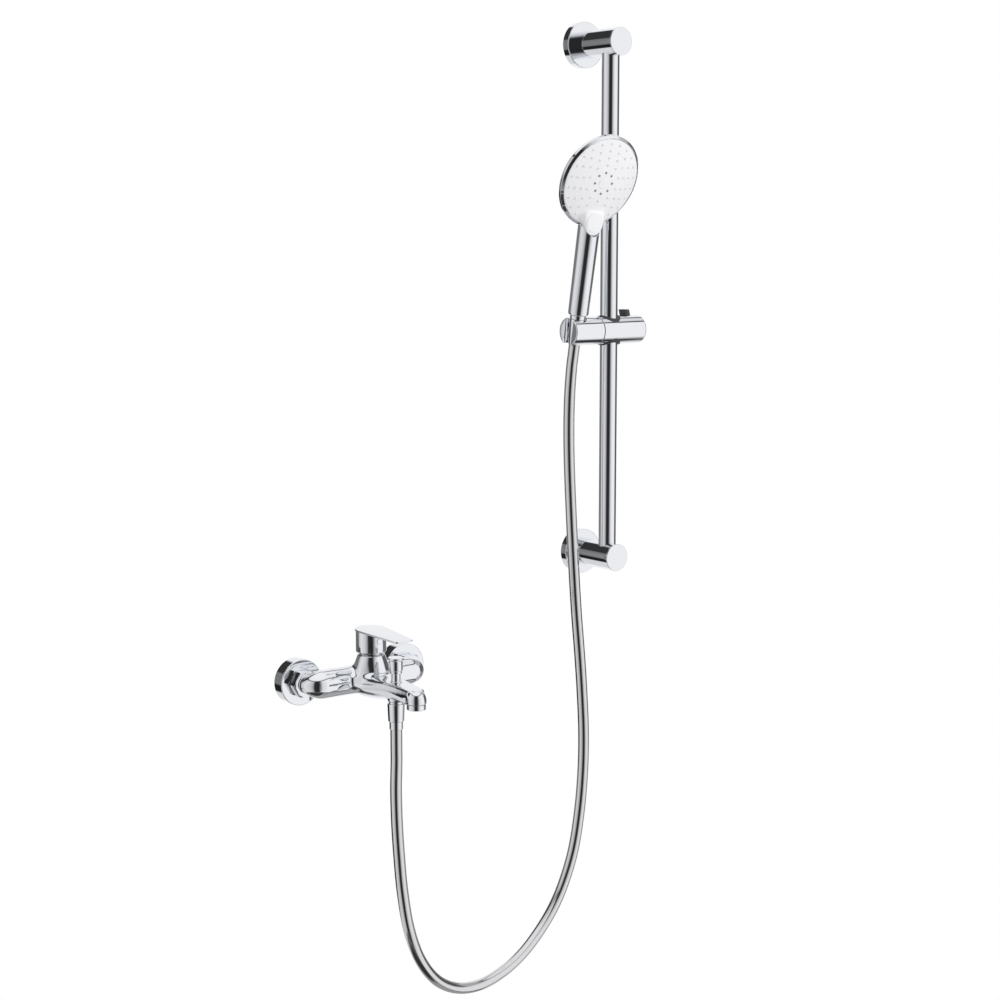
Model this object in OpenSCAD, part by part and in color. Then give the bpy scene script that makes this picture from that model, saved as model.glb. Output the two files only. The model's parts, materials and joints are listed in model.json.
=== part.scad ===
// Wall bath and shower mixer with riser rail, slider, hand shower and hose.
// Millimetres, +Z up. The wall is the plane y = 0 and the product stands out towards -Y.
// The origin lies on the wall, midway between the two water inlets.

/* [Mixer body] */
// Distance between the two water inlets
inlet_spacing = 150; // [140:1:170]
// Distance from the wall to the axis of the column
body_reach = 54; // [52:1:60]
// Distance from the wall to the axis of the barrel
barrel_reach = 40; // [39:0.5:42]
// Height of the barrel axis over the inlets, taken up by the eccentric unions
body_rise = 0; // [0:0.5:4]
// Diameter of the barrel beside the column
barrel_d = 35.2; // [34:0.2:37]
// Diameter of the barrel at its elbows
barrel_end_d = 34.6; // [32:0.2:34.8]
// Radius of the elbows, along their middle
elbow_bend = 10; // [9:0.5:11]
// Diameter of the elbows at the nuts
tail_d = 23.4; // [22:0.2:27]
// Diameter of the waterways in the barrel
waterway_d = 9; // [7:0.5:10]
// Diameter of the column at its top edge
column_top_d = 32.4; // [32:0.2:33.4]
// Diameter of the column where it is widest
column_d = 51; // [48:0.5:53]
// Height of the top edge of the column over the inlets
column_top = 32; // [31:0.5:38]
// Depth of the round foot of the column below the inlets
column_foot = 21.5; // [20:0.5:26]

/* [Spout] */
// Distance from the column axis to the axis of the outlet
spout_reach = 94.5; // [88:0.5:120]
// Width of the spout where it leaves the column
spout_root_w = 60; // [54:0.5:64]
// Diameter of the round nose
nose_d = 24.4; // [24:0.2:30]
// Height of the flat top at the outlet axis
spout_flat = 4.7; // [3.5:0.1:6.5]
// Slope of the flat top in degrees
spout_slope = 3.8; // [2:0.2:5]
// Depth of the lower rim of the nose below the inlets
nose_drop = 11.5; // [11:0.5:18]
// Diameter of the aerator ring
aerator_d = 22.8; // [21:0.2:24.6]
// Height of the aerator ring below the nose
aerator_h = 6.5; // [5:0.1:12]

/* [Wall unions] */
// Diameter of the round wall covers
cover_d = 55.6; // [50:0.2:70]
// Depth of the wall covers
cover_depth = 16.5; // [12:0.5:17]
// Outside diameter of the wall thread
wall_thread_d = 20.96; // [20:0.02:22]
// Length of thread behind the wall plane
wall_thread_l = 16; // [10:1:30]
// Outside diameter of the union thread under the nut
union_thread_d = 26.4; // [25:0.1:27]
// Width of the hexagon nuts across their flats
union_nut_w = 30; // [29:0.5:34]

/* [Lever] */
// Diameter of the lever drum
drum_d = 37; // [36.6:0.2:40]
// Thickness of the wall of the drum skirt
drum_wall = 2.5; // [2:0.1:2.6]
// Height of the drum skirt and the drum over the column
drum_h = 28; // [26:0.5:34]
// Distance from the column axis to the tip of the paddle
paddle_reach = 72; // [55:1:95]
// Width of the paddle at its tip
paddle_tip_w = 26; // [18:0.5:34]
// Thickness of the paddle
paddle_t = 2.2; // [1.8:0.1:4]
// Slope of the paddle in degrees
paddle_slope = 2.6; // [0:0.2:5]
// Diameter of the round index plug
plug_d = 7.6; // [6:0.2:9]

/* [Diverter] */
// Distance from the column axis to the diverter and the hose outlet
diverter_reach = 52.5; // [48:0.5:58]
// Diameter of the diverter knob
knob_d = 16.6; // [15:0.2:19]
// Diameter of the lip on the top of the knob
knob_lip_d = 19.2; // [17:0.2:22]
// Height of the knob
knob_h = 19; // [15:0.5:24]
// Diameter of the neck that the knob rests on
neck_d = 11; // [10.4:0.2:12.4]
// Height of the neck over the spout
neck_h = 9.6; // [8:0.2:14]
// How far the knob pulls up
diverter_lift = 6; // [4:0.5:6]

/* [Hose] */
// Outside diameter of the hose
hose_d = 14.4; // [13:0.2:15.2]
// Diameter of the outlet thread under the spout
outlet_thread_d = 16.6; // [16:0.1:17]
// Diameter of the lower hose nut at its top
hose_nut_d = 21.1; // [20.4:0.1:24]
// Diameter of the lower hose nut at its lower end
hose_nut_end_d = 19.1; // [18:0.1:20]
// Height of the lower hose nut
hose_nut_h = 21.6; // [19:0.2:28]
// Height of the ferrule under the lower nut
ferrule_h = 9.6; // [7:0.2:14]
// Diameter of the ferrule
ferrule_d = 16.4; // [15.8:0.1:17.6]

/* [Rail] */
// Distance from the mixer's middle to the rail
rail_x = 364.5; // [340:0.5:420]
// Height of the lower bracket over the inlets
rail_low = 115; // [90:1:160]
// Distance between the two brackets
rail_span = 654; // [600:1:800]
// Distance from the wall to the axis of the bar
bar_reach = 59.5; // [56:0.5:61]
// Diameter of the bar
bar_d = 22.6; // [20:0.1:24]
// Wall of the bar's tube
bar_wall = 1.2; // [0.8:0.1:2]
// Distance from the wall to the end face of the posts
post_reach = 80; // [76:0.5:84]
// Diameter of the posts
post_d = 35; // [33:0.5:40]
// Diameter of the wall flanges
flange_d = 58; // [50:0.5:70]
// Thickness of the wall flanges
flange_t = 10.6; // [8:0.2:13]
// Diameter of the wall screws
wall_screw_d = 5; // [4:0.1:6]
// Length of the wall screws behind the wall plane
wall_screw_l = 35; // [20:1:50]

/* [Slider] */
// Height of the slider axis over the inlets
slider_h = 408; // [380:1:450]
// Diameter of the slider
slider_d = 36; // [35:0.2:39]
// Distance from the bar to the left end of the slider
slider_left = 66.8; // [64:0.2:74]
// Distance from the bar to the seam between holder and slider
slider_seam = 20.5; // [18.5:0.2:23]
// Distance from the bar to the right end of the slider
slider_right = 49.5; // [46:0.5:60]
// Distance from the left end to the axis of the seat
seat_inset = 12.8; // [12:0.1:14.5]
// Wall of the plastic bush round the bar
bush_wall = 2.2; // [1.6:0.1:2.8]
// Diameter of the release button
release_d = 13.4; // [11:0.2:15]
// Distance from the bar to the release button
release_x = 32; // [29:0.5:36]
// How far the release button stands out of the slider
release_h = 8; // [6:0.2:11]
// Lean of the release button towards the wall, in degrees
release_lean = 17; // [0:1:25]

/* [Hand shower] */
// Lean of the hand shower away from the wall, in degrees
handset_lean = 10.5; // [10:0.5:16]
// Diameter of the upper hose nut at its top
cone_top_d = 20.6; // [20:0.1:21.4]
// Diameter of the upper hose nut at its lower end
cone_end_d = 15.6; // [15.2:0.1:16.4]
// Length of the upper hose nut
cone_l = 33.6; // [30:0.2:38]
// Diameter of the handle at its lower end
handle_low_d = 24.6; // [23.6:0.2:28]
// Diameter of the handle under the head
handle_top_d = 27; // [25:0.2:30]
// Distance from the slider axis to the middle of the head
head_rise = 191.5; // [180:0.5:230]
// Distance from the handle axis to the front of the rim
face_ahead = 12.4; // [10:0.1:14]
// Lean of the face against the handle, in degrees
face_lean = 12.5; // [8:0.5:18]
// Diameter of the head
head_d = 118.6; // [110:0.2:130]
// Depth of the head from its rim to its back
head_depth = 21; // [18:0.5:24]
// Depth of the straight side of the rim
rim_depth = 5.5; // [5:0.1:8]
// Wall of the shell of the head
shell_wall = 2.4; // [1.6:0.1:3]
// Width of the chrome rim round the face
rim_w = 1.8; // [1.2:0.1:3]
// Rise of the domed face over the rim
face_dome = 5.4; // [3:0.1:7]
// Diameter of the mode button
mode_d = 25; // [22:0.2:27]
// Diameter of the lobe round the mode button
lobe_d = 35; // [32:0.5:38]
// Distance from the middle of the head down to the middle of the mode button
lobe_drop = 51; // [49:0.5:55]
// How far the mode button presses in
mode_travel = 2.5; // [1.5:0.1:3]

/* [Hidden] */
$fn = 64;
chrome = "silver";
brass = "darkgoldenrod";
black = "dimgray";
white = "white";

// Clearances
slip = 0.05;
seat_gap = 0.3;
seam_gap = 0.5;
bite = 0.2;
through = 40;

// Mixer body
elbow_end = barrel_reach - elbow_bend;
barrel_half = inlet_spacing / 2 - elbow_bend;
column_belt = 4;
column_r = column_d / 2;
elbow_steps = 8;
elbow_sides = 32;

// Inlet tail, washer and union, counted from the elbow towards the wall
nut_gap = 0.3;
nut_shoulder = 1.6;
lip_t = 2;
washer_t = 2;
nut_back = elbow_end - nut_gap;
lip_back = nut_back - nut_shoulder - 0.1;
lip_front = lip_back - lip_t;
union_face = lip_front - washer_t;
tail_neck_r = 9.9;
lip_r = union_thread_d / 2 - 0.8;
union_bore_r = 8;
nut_front = cover_depth + 1;
cover_wall = 1.4;
union_collar_r = 14;
union_collar_t = 5;

// Cartridge, with the heights counted from the top of the column
pivot_z = column_top - 10;
chamber_floor = column_top - 24;
chamber_r = 12.6;
nut_seat_r = 14.2;
cart_r = chamber_r - slip;
cart_wall = 1.1;
cart_shoulder = column_top - 11;
cart_neck_top = column_top - 5;
cart_neck_r = 9.8;
driver_r = 8;
driver_wall = 1.6;
port_at = 7;
port_r = 2.5;
mixed_r = 3;
disc_t = 4;
disc_base = chamber_floor + 2;
disc_meet = disc_base + disc_t;
ball_r = 2.5;
ball_arm = 5.5;
ball_z = pivot_z - ball_arm;
spindle_r = 3.5;
pin_r = 1.5;
dome_r = 18.7;
ring_hole_r = 12;

// Lever
drum_base = column_top + 1.5;
drum_top = drum_base + drum_h;
drum_r = drum_d / 2;
skirt_r = drum_r - drum_wall;
skirt_roof = drum_base + 11.5;
drum_chamfer = 1.8;
paddle_tip_r = 5;
boss_r = 7.4;
plug_z = drum_base + 16;
plug_t = 2;
lever_screw_r = 2.5;

// Spout
spout_steps = 16;
spout_sides = 40;
spout_root_top = 12.4;
spout_root_mid = 6;
spout_nose_top = 6.6;
spout_nose_belly = 9.5;
chin_at = 0.875;
chin_depth = 6;
nose_r = nose_d / 2;
nose_shoulder = -8;
nose_crown = 14.5;
outlet_y = -body_reach - spout_reach;
aerator_bore_r = aerator_d / 2 - 0.9;
aerator_seat = nose_drop - 6;
channel_z = -3.5;
channel_d = 10;

// Diverter, hose outlet
diverter_y = -body_reach - diverter_reach;
flat_at_diverter = spout_flat + (spout_reach - diverter_reach) * tan(spout_slope);
bush_top = flat_at_diverter + neck_h;
bush_bottom = flat_at_diverter - 4;
bush_r = 7;
stem_r = 3;
chamber_low = -9;
valve_r = 7.6;
seal_t = 3;
seal_low = chamber_low + seat_gap;
outlet_boss_r = 10;
outlet_boss_low = 16.6;
nipple_low = 32;
hose_nut_top = 18.6;
hose_nut_low = hose_nut_top + hose_nut_h;
ferrule_low = hose_nut_low + ferrule_h;
nipple_bore_r = 5;
hose_lip_r = 7;

// Rail
rail_top = rail_low + rail_span;
bar_r = bar_d / 2;
post_r = post_d / 2;
post_cap_t = 1.6;
bar_sink = 4;
hub_r = 10;
hub_l = 30;
screw_head_t = 3;
grub_r = 2;

// Slider
slider_r = slider_d / 2;
bush_r_out = bar_r + slip + bush_wall;
bush_proud = 1.1;
holder_left = rail_x - slider_left;
holder_right = rail_x - slider_seam - seam_gap;
body_left = rail_x - slider_seam;
body_right = rail_x + slider_right;
seat_x = holder_left + seat_inset;
slot_w = hose_d + 1.2;
pivot_r = 4;
pivot_l = 12;
release_travel = 3;
release_guide_r = 3;
release_low = slider_r - 5 + release_travel + seat_gap;
spring_floor = slider_r - 9;
spring_r = 4.6;
edge_r = 1.2;

// Hand shower
cone_low = -cone_l / 2 - 0.6;
cone_high = cone_low + cone_l;
handle_low = cone_high + 5.4;
spigot_r = 7.8;
handle_bore_r = 7;
head_r = head_d / 2;
face_r = head_r - rim_w;
face_t = 2.4;
dome_sphere_r = (face_r * face_r + face_dome * face_dome) / (2 * face_dome);
lobe_rise = head_rise - lobe_drop;
lobe_front = 10.5;
mode_low = lobe_front - 5 + mode_travel + seat_gap;
lobe_back = 2;
lobe_edge_r = 4;
valve_hole_r = 4;
mode_proud = 1;
jet_count = 8;
jet_ring_r = 13.6;
nozzle_rings = [[10, 23.6], [14, 32.3], [18, 41], [22, 49.6]];
nozzle_r = 1.1;
nozzle_hole_r = 1.35;
nozzle_proud = 0.9;
mat_front = rim_depth - 1.9;
mat_t = 1.6;
mat_r = 54;
feed_at = 26;
feed_r = 4;
lobe_keep = 21;

// Route of the hose from the lower ferrule to the upper nut
hose_route = [
    [0, -106.5, -90], [-1, -106.5, -125], [0, -106.5, -165], [3, -106, -205],
    [8, -105, -250], [18, -103.5, -300], [36, -100.5, -344], [64, -96, -379],
    [100, -90, -400], [140, -84, -407], [180, -77, -402], [216, -71.5, -388],
    [248, -66, -367], [275, -62, -341], [296, -58.5, -311], [314, -55.5, -271],
    [326, -53, -221], [332, -52, -170], [333, -52, -120], [330, -52.5, -70],
    [325, -53, -15], [320, -51.5, 45], [316, -50, 110], [313, -48, 180],
    [311, -46.5, 240], [310.5, -46, 290], [310.5, -47.5, 330]
];
hose_sides = 12;
hose_steps = 2;

// Curves and sweeps

function smooth(t) = t * t * (3 - 2 * t);
function mix(a, b, t) = a + (b - a) * t;
function unit(v) = v / norm(v);

// Point of a smooth curve through a list of points, between the points i and i + 1
function past(pts, i) = pts[max(0, min(len(pts) - 1, i))];
function along(pts, i, t) =
    let (a = past(pts, i - 1), b = past(pts, i), c = past(pts, i + 1), d = past(pts, i + 2))
    0.5 * (2 * b + (c - a) * t + (2 * a - 5 * b + 4 * c - d) * t * t + (3 * b - a - 3 * c + d) * t * t * t);
function curve(pts, steps) = concat(
    [for (i = [0:len(pts) - 2]) for (k = [0:steps - 1]) along(pts, i, k / steps)],
    [pts[len(pts) - 1]]);

// Rings of n points round each point of a path, square to the path
function heading(path, i) = unit(path[min(i + 1, len(path) - 1)] - path[max(i - 1, 0)]);
function side_of(dir) = unit(cross(dir, abs(dir[1]) < 0.9 ? [0, 1, 0] : [1, 0, 0]));
function ring(at, dir, r, n) =
    let (u = side_of(dir), v = cross(dir, u))
    [for (k = [0:n - 1]) at + r * (cos(360 * k / n) * u + sin(360 * k / n) * v)];

// Solid between rings that all have the same number of points
module skin(rings) {
    n = len(rings[0]);
    last = (len(rings) - 1) * n;
    faces = concat(
        [[for (k = [0:n - 1]) k]],
        [for (j = [0:len(rings) - 2]) for (k = [0:n - 1])
            [j * n + k, (j + 1) * n + k, j * n + (k + 1) % n]],
        [for (j = [0:len(rings) - 2]) for (k = [0:n - 1])
            [j * n + (k + 1) % n, (j + 1) * n + k, (j + 1) * n + (k + 1) % n]],
        [[for (k = [n - 1:-1:0]) last + k]]);
    polyhedron([for (r = rings) each r], faces);
}

// Places that several pieces share

module at_inlets() {
    for (side = [-1, 1]) translate([side * inlet_spacing / 2, 0, 0]) children();
}
// Z points out of the wall
module off_wall() rotate([90, 0, 0]) children();
module at_column() translate([0, -body_reach, 0]) children();
module at_diverter() translate([0, diverter_y, 0]) children();
module at_outlet() translate([0, outlet_y, 0]) children();
module at_post(high) translate([rail_x, 0, high ? rail_top : rail_low]) off_wall() children();
module at_slider() translate([rail_x, -bar_reach, slider_h]) children();
// Z runs along the handle of the hand shower
module in_seat() translate([seat_x, -bar_reach, slider_h]) rotate([handset_lean, 0, 0]) children();
// Z points out of the face of the hand shower and Y runs up the face
module at_face() {
    in_seat() translate([0, -face_ahead, head_rise]) rotate([90 + face_lean, 0, 0]) children();
}
// Z points out of the front of the handle at the mode button
module at_mode() in_seat() translate([0, 0, lobe_rise]) rotate([90, 0, 0]) children();
// Z runs along the release button
module at_release() {
    at_slider() translate([release_x, 0, 0]) rotate([-release_lean, 0, 0]) children();
}

module tube(r, hole, z0, z1) {
    difference() {
        translate([0, 0, z0]) cylinder(r = r, h = z1 - z0);
        translate([0, 0, z0 - 1]) cylinder(r = hole, h = z1 - z0 + 2);
    }
}

// Disc or cylinder with rounded edges at its upper end
module round_top(r, z0, z1, edge) {
    rotate_extrude() {
        translate([0, z0]) square([r, z1 - z0 - edge]);
        translate([0, z0]) square([r - edge, z1 - z0]);
        intersection() {
            translate([r - edge, z1 - edge]) circle(edge);
            translate([r - edge, z1 - edge]) square(edge);
        }
    }
}

// Coil spring along Z, one unbroken wire
module coil(r, wire, z0, z1, turns) {
    steps = turns * 8;
    skin([for (i = [0:steps])
        let (out = [cos(45 * i), sin(45 * i), 0], z = mix(z0 + wire, z1 - wire, i / steps))
            [for (k = [0:5]) (r + wire * cos(60 * k)) * out + [0, 0, z - wire * sin(60 * k)]]]);
}

// Mixer body

module column() {
    steps = 10;
    rise = column_top - column_belt;
    top_r = column_top_d / 2;
    foot = column_belt + column_foot;
    outline = concat(
        [[0, column_top], [top_r, column_top]],
        [for (i = [1:steps]) let (t = 1 - i / steps)
            [mix(top_r, column_r, 1 - pow(t, 1.2)), column_belt + rise * t]],
        [for (i = [1:steps - 1]) let (a = 90 * i / steps)
            [column_r * cos(a), column_belt - foot * sin(a)]],
        [[0, -column_foot]]);
    rotate_extrude() polygon(outline);
}

module barrel() {
    steps = 8;
    outline = concat(
        [[0, -barrel_half]],
        [for (i = [-steps:steps]) let (t = i / steps)
            [mix(barrel_d, barrel_end_d, t * t) / 2, barrel_half * t]],
        [[0, barrel_half]]);
    difference() {
        translate([0, -barrel_reach, body_rise]) rotate([0, 90, 0]) rotate_extrude() polygon(outline);
        at_inlets() translate([0, 0, body_rise]) off_wall()
            cylinder(r = union_nut_w / 2 / cos(30) + 1, h = elbow_end + bite);
    }
}

// Tight bend from the barrel towards the wall, with all its fullness on the outside
module elbow(side) {
    inset = 0.3;
    tail_r = tail_d / 2;
    start_r = barrel_end_d / 2 - inset;
    bend = [for (j = [0:elbow_steps]) let (
            t = j / elbow_steps,
            out = [side * cos(90 * t), -sin(90 * t), 0],
            mid = [side * barrel_half, -elbow_end, body_rise] + elbow_bend * out,
            full = mix(tail_r, start_r, smooth(t)))
        [for (k = [0:elbow_sides - 1]) let (
                a = side * 360 * k / elbow_sides,
                wide = cos(a) > 0 ? full : elbow_bend - 1)
            mid + wide * cos(a) * out + [0, 0, full * sin(a)]]];
    root = [for (p = bend[elbow_steps]) p - [side * 3, 0, 0]];
    skin(concat(bend, [root]));
}

module inlet_tail(side) {
    translate([side * inlet_spacing / 2, 0, body_rise]) off_wall() {
        translate([0, 0, lip_front]) cylinder(r = lip_r, h = lip_t);
        translate([0, 0, lip_front]) cylinder(r = tail_neck_r, h = elbow_end - lip_front + bite);
    }
}

module spout() {
    rings = [for (j = [0:spout_steps]) let (
            t = j / spout_steps,
            half_w = mix(nose_r, spout_root_w / 2, pow(1 - t, 1.8)),
            top = mix(spout_root_top, spout_nose_top, t),
            chin = t < chin_at ? smooth(max(0, t / chin_at * 3 - 2)) : (1 - t) / (1 - chin_at),
            belly = mix(-column_foot + 0.5, -spout_nose_belly, smooth(t)) - chin_depth * chin,
            mid = mix(spout_root_mid, (spout_nose_top - spout_nose_belly) / 2, t),
            square = 2 / mix(2, 3, min(1, 2 * t)))
        [for (k = [0:spout_sides - 1]) let (
                a = 360 * k / spout_sides,
                over = sin(a) >= 0,
                across = over ? sign(cos(a)) * pow(abs(cos(a)), square) : cos(a),
                up = over ? (top - mid) * pow(sin(a), square) : (mid - belly) * sin(a))
            [half_w * across, -body_reach - spout_reach * t, mid + up]]];
    skin(rings);
    at_outlet() {
        translate([0, 0, -nose_drop]) cylinder(r = nose_r, h = nose_drop + nose_shoulder);
        translate([0, 0, nose_shoulder]) rotate_extrude() polygon(concat([[0, -1], [nose_r, -1]],
            [for (i = [0:10]) [nose_r * cos(9 * i), nose_crown * sin(9 * i)]]));
    }
}

// What lies over the flat top of the spout, in front of the column
module over_flat() {
    block = 80;
    translate([-block / 2, outlet_y, spout_flat]) rotate([spout_slope, 0, 0])
        translate([0, -block, 0]) cube([block, block + spout_reach - column_r + 3, block]);
}

// Drilled a little to the inside of the elbows, so that the wall stays thick there
module waterways() {
    inlet_r = waterway_d / 2 + 0.5;
    inlet_x = inlet_spacing / 2 - 3;
    barrel_y = -body_reach + 6;
    gallery = 24;
    for (side = [-1, 1]) {
        translate([side * inlet_x, 0, body_rise]) off_wall()
            translate([0, 0, lip_front - 1]) cylinder(r = inlet_r, h = -barrel_y + 1 - lip_front + 1);
        translate([side * (inlet_x - 2), barrel_y, body_rise]) rotate([0, -90 * side, 0])
            cylinder(d = waterway_d, h = inlet_x - gallery);
        translate([side * gallery, -body_reach + 2, body_rise]) rotate([0, -90 * side, 0])
            cylinder(r = mixed_r, h = gallery - port_at + 2);
        translate([side * port_at, -body_reach, body_rise])
            cylinder(r = port_r, h = chamber_floor - body_rise + 1);
    }
    translate([0, -body_reach - port_at, channel_z])
        cylinder(r = mixed_r, h = chamber_floor - channel_z + 1);
    translate([0, -body_reach - port_at + 1, channel_z]) off_wall()
        cylinder(d = channel_d, h = spout_reach - port_at + 1);
}

module mixer_body() {
    color(chrome) difference() {
        union() {
            at_column() column();
            barrel();
            for (side = [-1, 1]) {
                elbow(side);
                inlet_tail(side);
            }
            difference() {
                spout();
                over_flat();
            }
            at_diverter() translate([0, 0, -outlet_boss_low])
                cylinder(r = outlet_boss_r, h = outlet_boss_low - 4);
        }
        at_column() {
            translate([0, 0, chamber_floor]) cylinder(r = chamber_r, h = through);
            translate([0, 0, cart_shoulder]) cylinder(r = nut_seat_r, h = through);
        }
        waterways();
        at_diverter() {
            translate([0, 0, chamber_low]) cylinder(r = valve_r, h = bush_bottom - chamber_low);
            translate([0, 0, bush_bottom - bite]) cylinder(r = bush_r + slip, h = through);
            translate([0, 0, -outlet_boss_low - 1]) cylinder(d = outlet_thread_d, h = outlet_boss_low);
        }
        at_outlet() {
            translate([0, 0, -nose_drop - 1])
                cylinder(r = aerator_bore_r + slip, h = nose_drop - aerator_seat + 1);
            translate([0, 0, -nose_drop - through]) cylinder(r = aerator_d / 2 + slip, h = through);
            translate([0, 0, -nose_drop - 1]) cylinder(d = channel_d + 4, h = nose_drop + channel_z + 1);
        }
    }
}

// Wall unions

module union_pipe(side) {
    color(brass) translate([side * inlet_spacing / 2, 0, 0]) difference() {
        union() {
            translate([0, wall_thread_l, 0]) off_wall() cylinder(d = wall_thread_d, h = wall_thread_l + bite);
            off_wall() cylinder(r = union_collar_r, h = union_collar_t);
            translate([0, 0, body_rise]) off_wall()
                translate([0, 0, union_collar_t - bite])
                    cylinder(d = union_thread_d, h = union_face - union_collar_t + bite);
        }
        translate([0, wall_thread_l + 1, 0]) off_wall()
            cylinder(r = union_bore_r - 1, h = wall_thread_l + union_collar_t + 3);
        translate([0, 0, body_rise]) off_wall()
            translate([0, 0, union_collar_t + 1]) cylinder(r = union_bore_r, h = union_face);
    }
}
module union_left() union_pipe(-1);
module union_right() union_pipe(1);

// Round cup that covers the hole in the wall
module escutcheon(side) {
    r = cover_d / 2;
    edge = 0.8;
    color(chrome) translate([side * inlet_spacing / 2, 0, 0]) difference() {
        off_wall() rotate_extrude() polygon([[r - cover_wall, 0], [r, 0], [r, cover_depth - edge],
            [r - edge, cover_depth], [0, cover_depth], [0, cover_depth - cover_wall],
            [r - cover_wall, cover_depth - cover_wall]]);
        translate([0, 0, body_rise]) off_wall() cylinder(r = union_thread_d / 2 + seat_gap, h = through);
    }
}
module escutcheon_left() escutcheon(-1);
module escutcheon_right() escutcheon(1);

// Hexagon nut, held behind the lip of the inlet tail
module union_nut(side) {
    corner_r = union_nut_w / 2 / cos(30);
    length = nut_back - nut_front;
    color(chrome) translate([side * inlet_spacing / 2, 0, body_rise]) off_wall()
        translate([0, 0, nut_front]) difference() {
            intersection() {
                cylinder(r = corner_r, h = length, $fn = 6);
                rotate_extrude() polygon([[0, 0], [corner_r - 1.6, 0], [corner_r, 1.4],
                    [corner_r, length - 1.4], [corner_r - 1.6, length], [0, length]]);
            }
            translate([0, 0, -1])
                cylinder(r = union_thread_d / 2 + slip, h = length - nut_shoulder + 1);
            translate([0, 0, -1]) cylinder(r = tail_neck_r + seat_gap, h = length + 2);
        }
}
module union_nut_left() union_nut(-1);
module union_nut_right() union_nut(1);

module union_washers() {
    color(black) at_inlets() translate([0, 0, body_rise]) off_wall()
        tube(lip_r, union_bore_r, union_face, lip_front);
}

// Ceramic cartridge

// Holes for the hot, cold and mixed water
module ports(z0, h) {
    for (x = [-port_at, port_at]) translate([x, 0, z0]) cylinder(r = port_r, h = h);
    translate([0, -port_at, z0]) cylinder(r = mixed_r, h = h);
}

module cartridge_base() {
    color(black) at_column() difference() {
        translate([0, 0, chamber_floor]) cylinder(r = cart_r, h = disc_base - chamber_floor);
        ports(chamber_floor - 1, disc_base - chamber_floor + 2);
    }
}

module cartridge_housing() {
    color(white) at_column() difference() {
        union() {
            translate([0, 0, disc_base]) cylinder(r = cart_r, h = cart_shoulder + 2 - disc_base);
            translate([0, 0, cart_shoulder]) cylinder(r = nut_seat_r - slip, h = 2);
            translate([0, 0, cart_shoulder]) cylinder(r = cart_neck_r, h = cart_neck_top - cart_shoulder);
        }
        translate([0, 0, disc_base - 1]) cylinder(r = cart_r - cart_wall, h = pivot_z - 3 - disc_base);
        translate([0, 0, disc_base]) cylinder(r = driver_r + slip, h = through);
    }
}

module fixed_disc() {
    color("ivory") at_column() difference() {
        translate([0, 0, disc_base]) cylinder(r = cart_r - cart_wall - slip, h = disc_t - slip);
        ports(disc_base - 1, disc_t + 2);
    }
}

module moving_disc() {
    color("ivory") at_column() difference() {
        translate([0, 0, disc_meet]) cylinder(r = driver_r - 0.6, h = pivot_z - 4.5 - disc_meet);
        translate([0, 0, ball_z - ball_r - 0.6]) cylinder(r = ball_r + 0.7, h = through);
    }
}

// Turning carrier with a slot for the spindle
module cartridge_driver() {
    color("khaki") at_column() difference() {
        translate([0, 0, pivot_z - 4]) cylinder(r = driver_r, h = cart_neck_top - pivot_z + 3.5);
        translate([-spindle_r - seat_gap, -driver_r + driver_wall, pivot_z - 6])
            cube([2 * (spindle_r + seat_gap), 2 * (driver_r - driver_wall), 30]);
        translate([-20, 0, pivot_z]) rotate([0, 90, 0]) cylinder(r = pin_r, h = through);
    }
}

module cartridge_pin() {
    color("gray") at_column() translate([-driver_r + seat_gap, 0, pivot_z]) rotate([0, 90, 0])
        cylinder(r = pin_r, h = 2 * (driver_r - seat_gap));
}

// Tilting spindle: a rod with flat sides, a pin hole and a ball end
module cartridge_spindle() {
    color("gray") at_column() difference() {
        union() {
            translate([0, 0, ball_z]) sphere(ball_r);
            translate([0, 0, ball_z]) cylinder(r = ball_r - 0.7, h = ball_arm);
            translate([0, 0, pivot_z - 2.6]) cylinder(r = spindle_r, h = skirt_roof + 8 - pivot_z);
        }
        translate([-20, 0, pivot_z]) rotate([0, 90, 0]) cylinder(r = pin_r + slip, h = through);
    }
}

module cartridge_nut() {
    color(brass) at_column()
        tube(nut_seat_r - slip, cart_neck_r + seat_gap, cart_shoulder + 2, column_top - 0.6);
}

// Ring with a round outside, centred on the pivot so that the lever skirt swings over it
module cap_ring() {
    color(chrome) at_column() difference() {
        intersection() {
            translate([0, 0, pivot_z]) sphere(dome_r);
            translate([0, 0, column_top]) cylinder(r = column_top_d / 2 - 0.5, h = through);
        }
        translate([0, 0, column_top - 1]) cylinder(r = ring_hole_r, h = through);
    }
}

// Lever

// Outline of the paddle: round behind, with a narrower tip that has rounded corners
module paddle_outline() {
    tip = -paddle_reach + paddle_tip_r;
    hull() {
        circle(r = drum_r + 1, $fn = 64);
        for (x = [-1, 1])
            translate([x * (paddle_tip_w / 2 - paddle_tip_r), tip]) circle(r = paddle_tip_r, $fn = 32);
    }
}

module lever() {
    color(chrome) at_column() difference() {
        union() {
            rotate_extrude() polygon([[0, drum_base], [drum_r - drum_chamfer, drum_base],
                [drum_r, drum_base + drum_chamfer + 0.6], [drum_r, drum_top], [0, drum_top]]);
            translate([0, 0, drum_top]) rotate([paddle_slope, 0, 0])
                translate([0, 0, -paddle_t / 2]) linear_extrude(paddle_t) paddle_outline();
        }
        difference() {
            translate([0, 0, drum_base - 1]) cylinder(r = skirt_r, h = skirt_roof - drum_base + 1);
            translate([0, 0, skirt_roof - 2.5]) cylinder(r = boss_r, h = 5);
        }
        translate([0, 0, drum_base]) cylinder(r = spindle_r, h = skirt_roof + 5.4 - drum_base);
        translate([0, 0, plug_z]) off_wall() cylinder(r = lever_screw_r, h = drum_r + 2);
        translate([0, 0, plug_z]) off_wall() translate([0, 0, drum_r - plug_t])
            cylinder(d = plug_d, h = through);
    }
}

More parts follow.
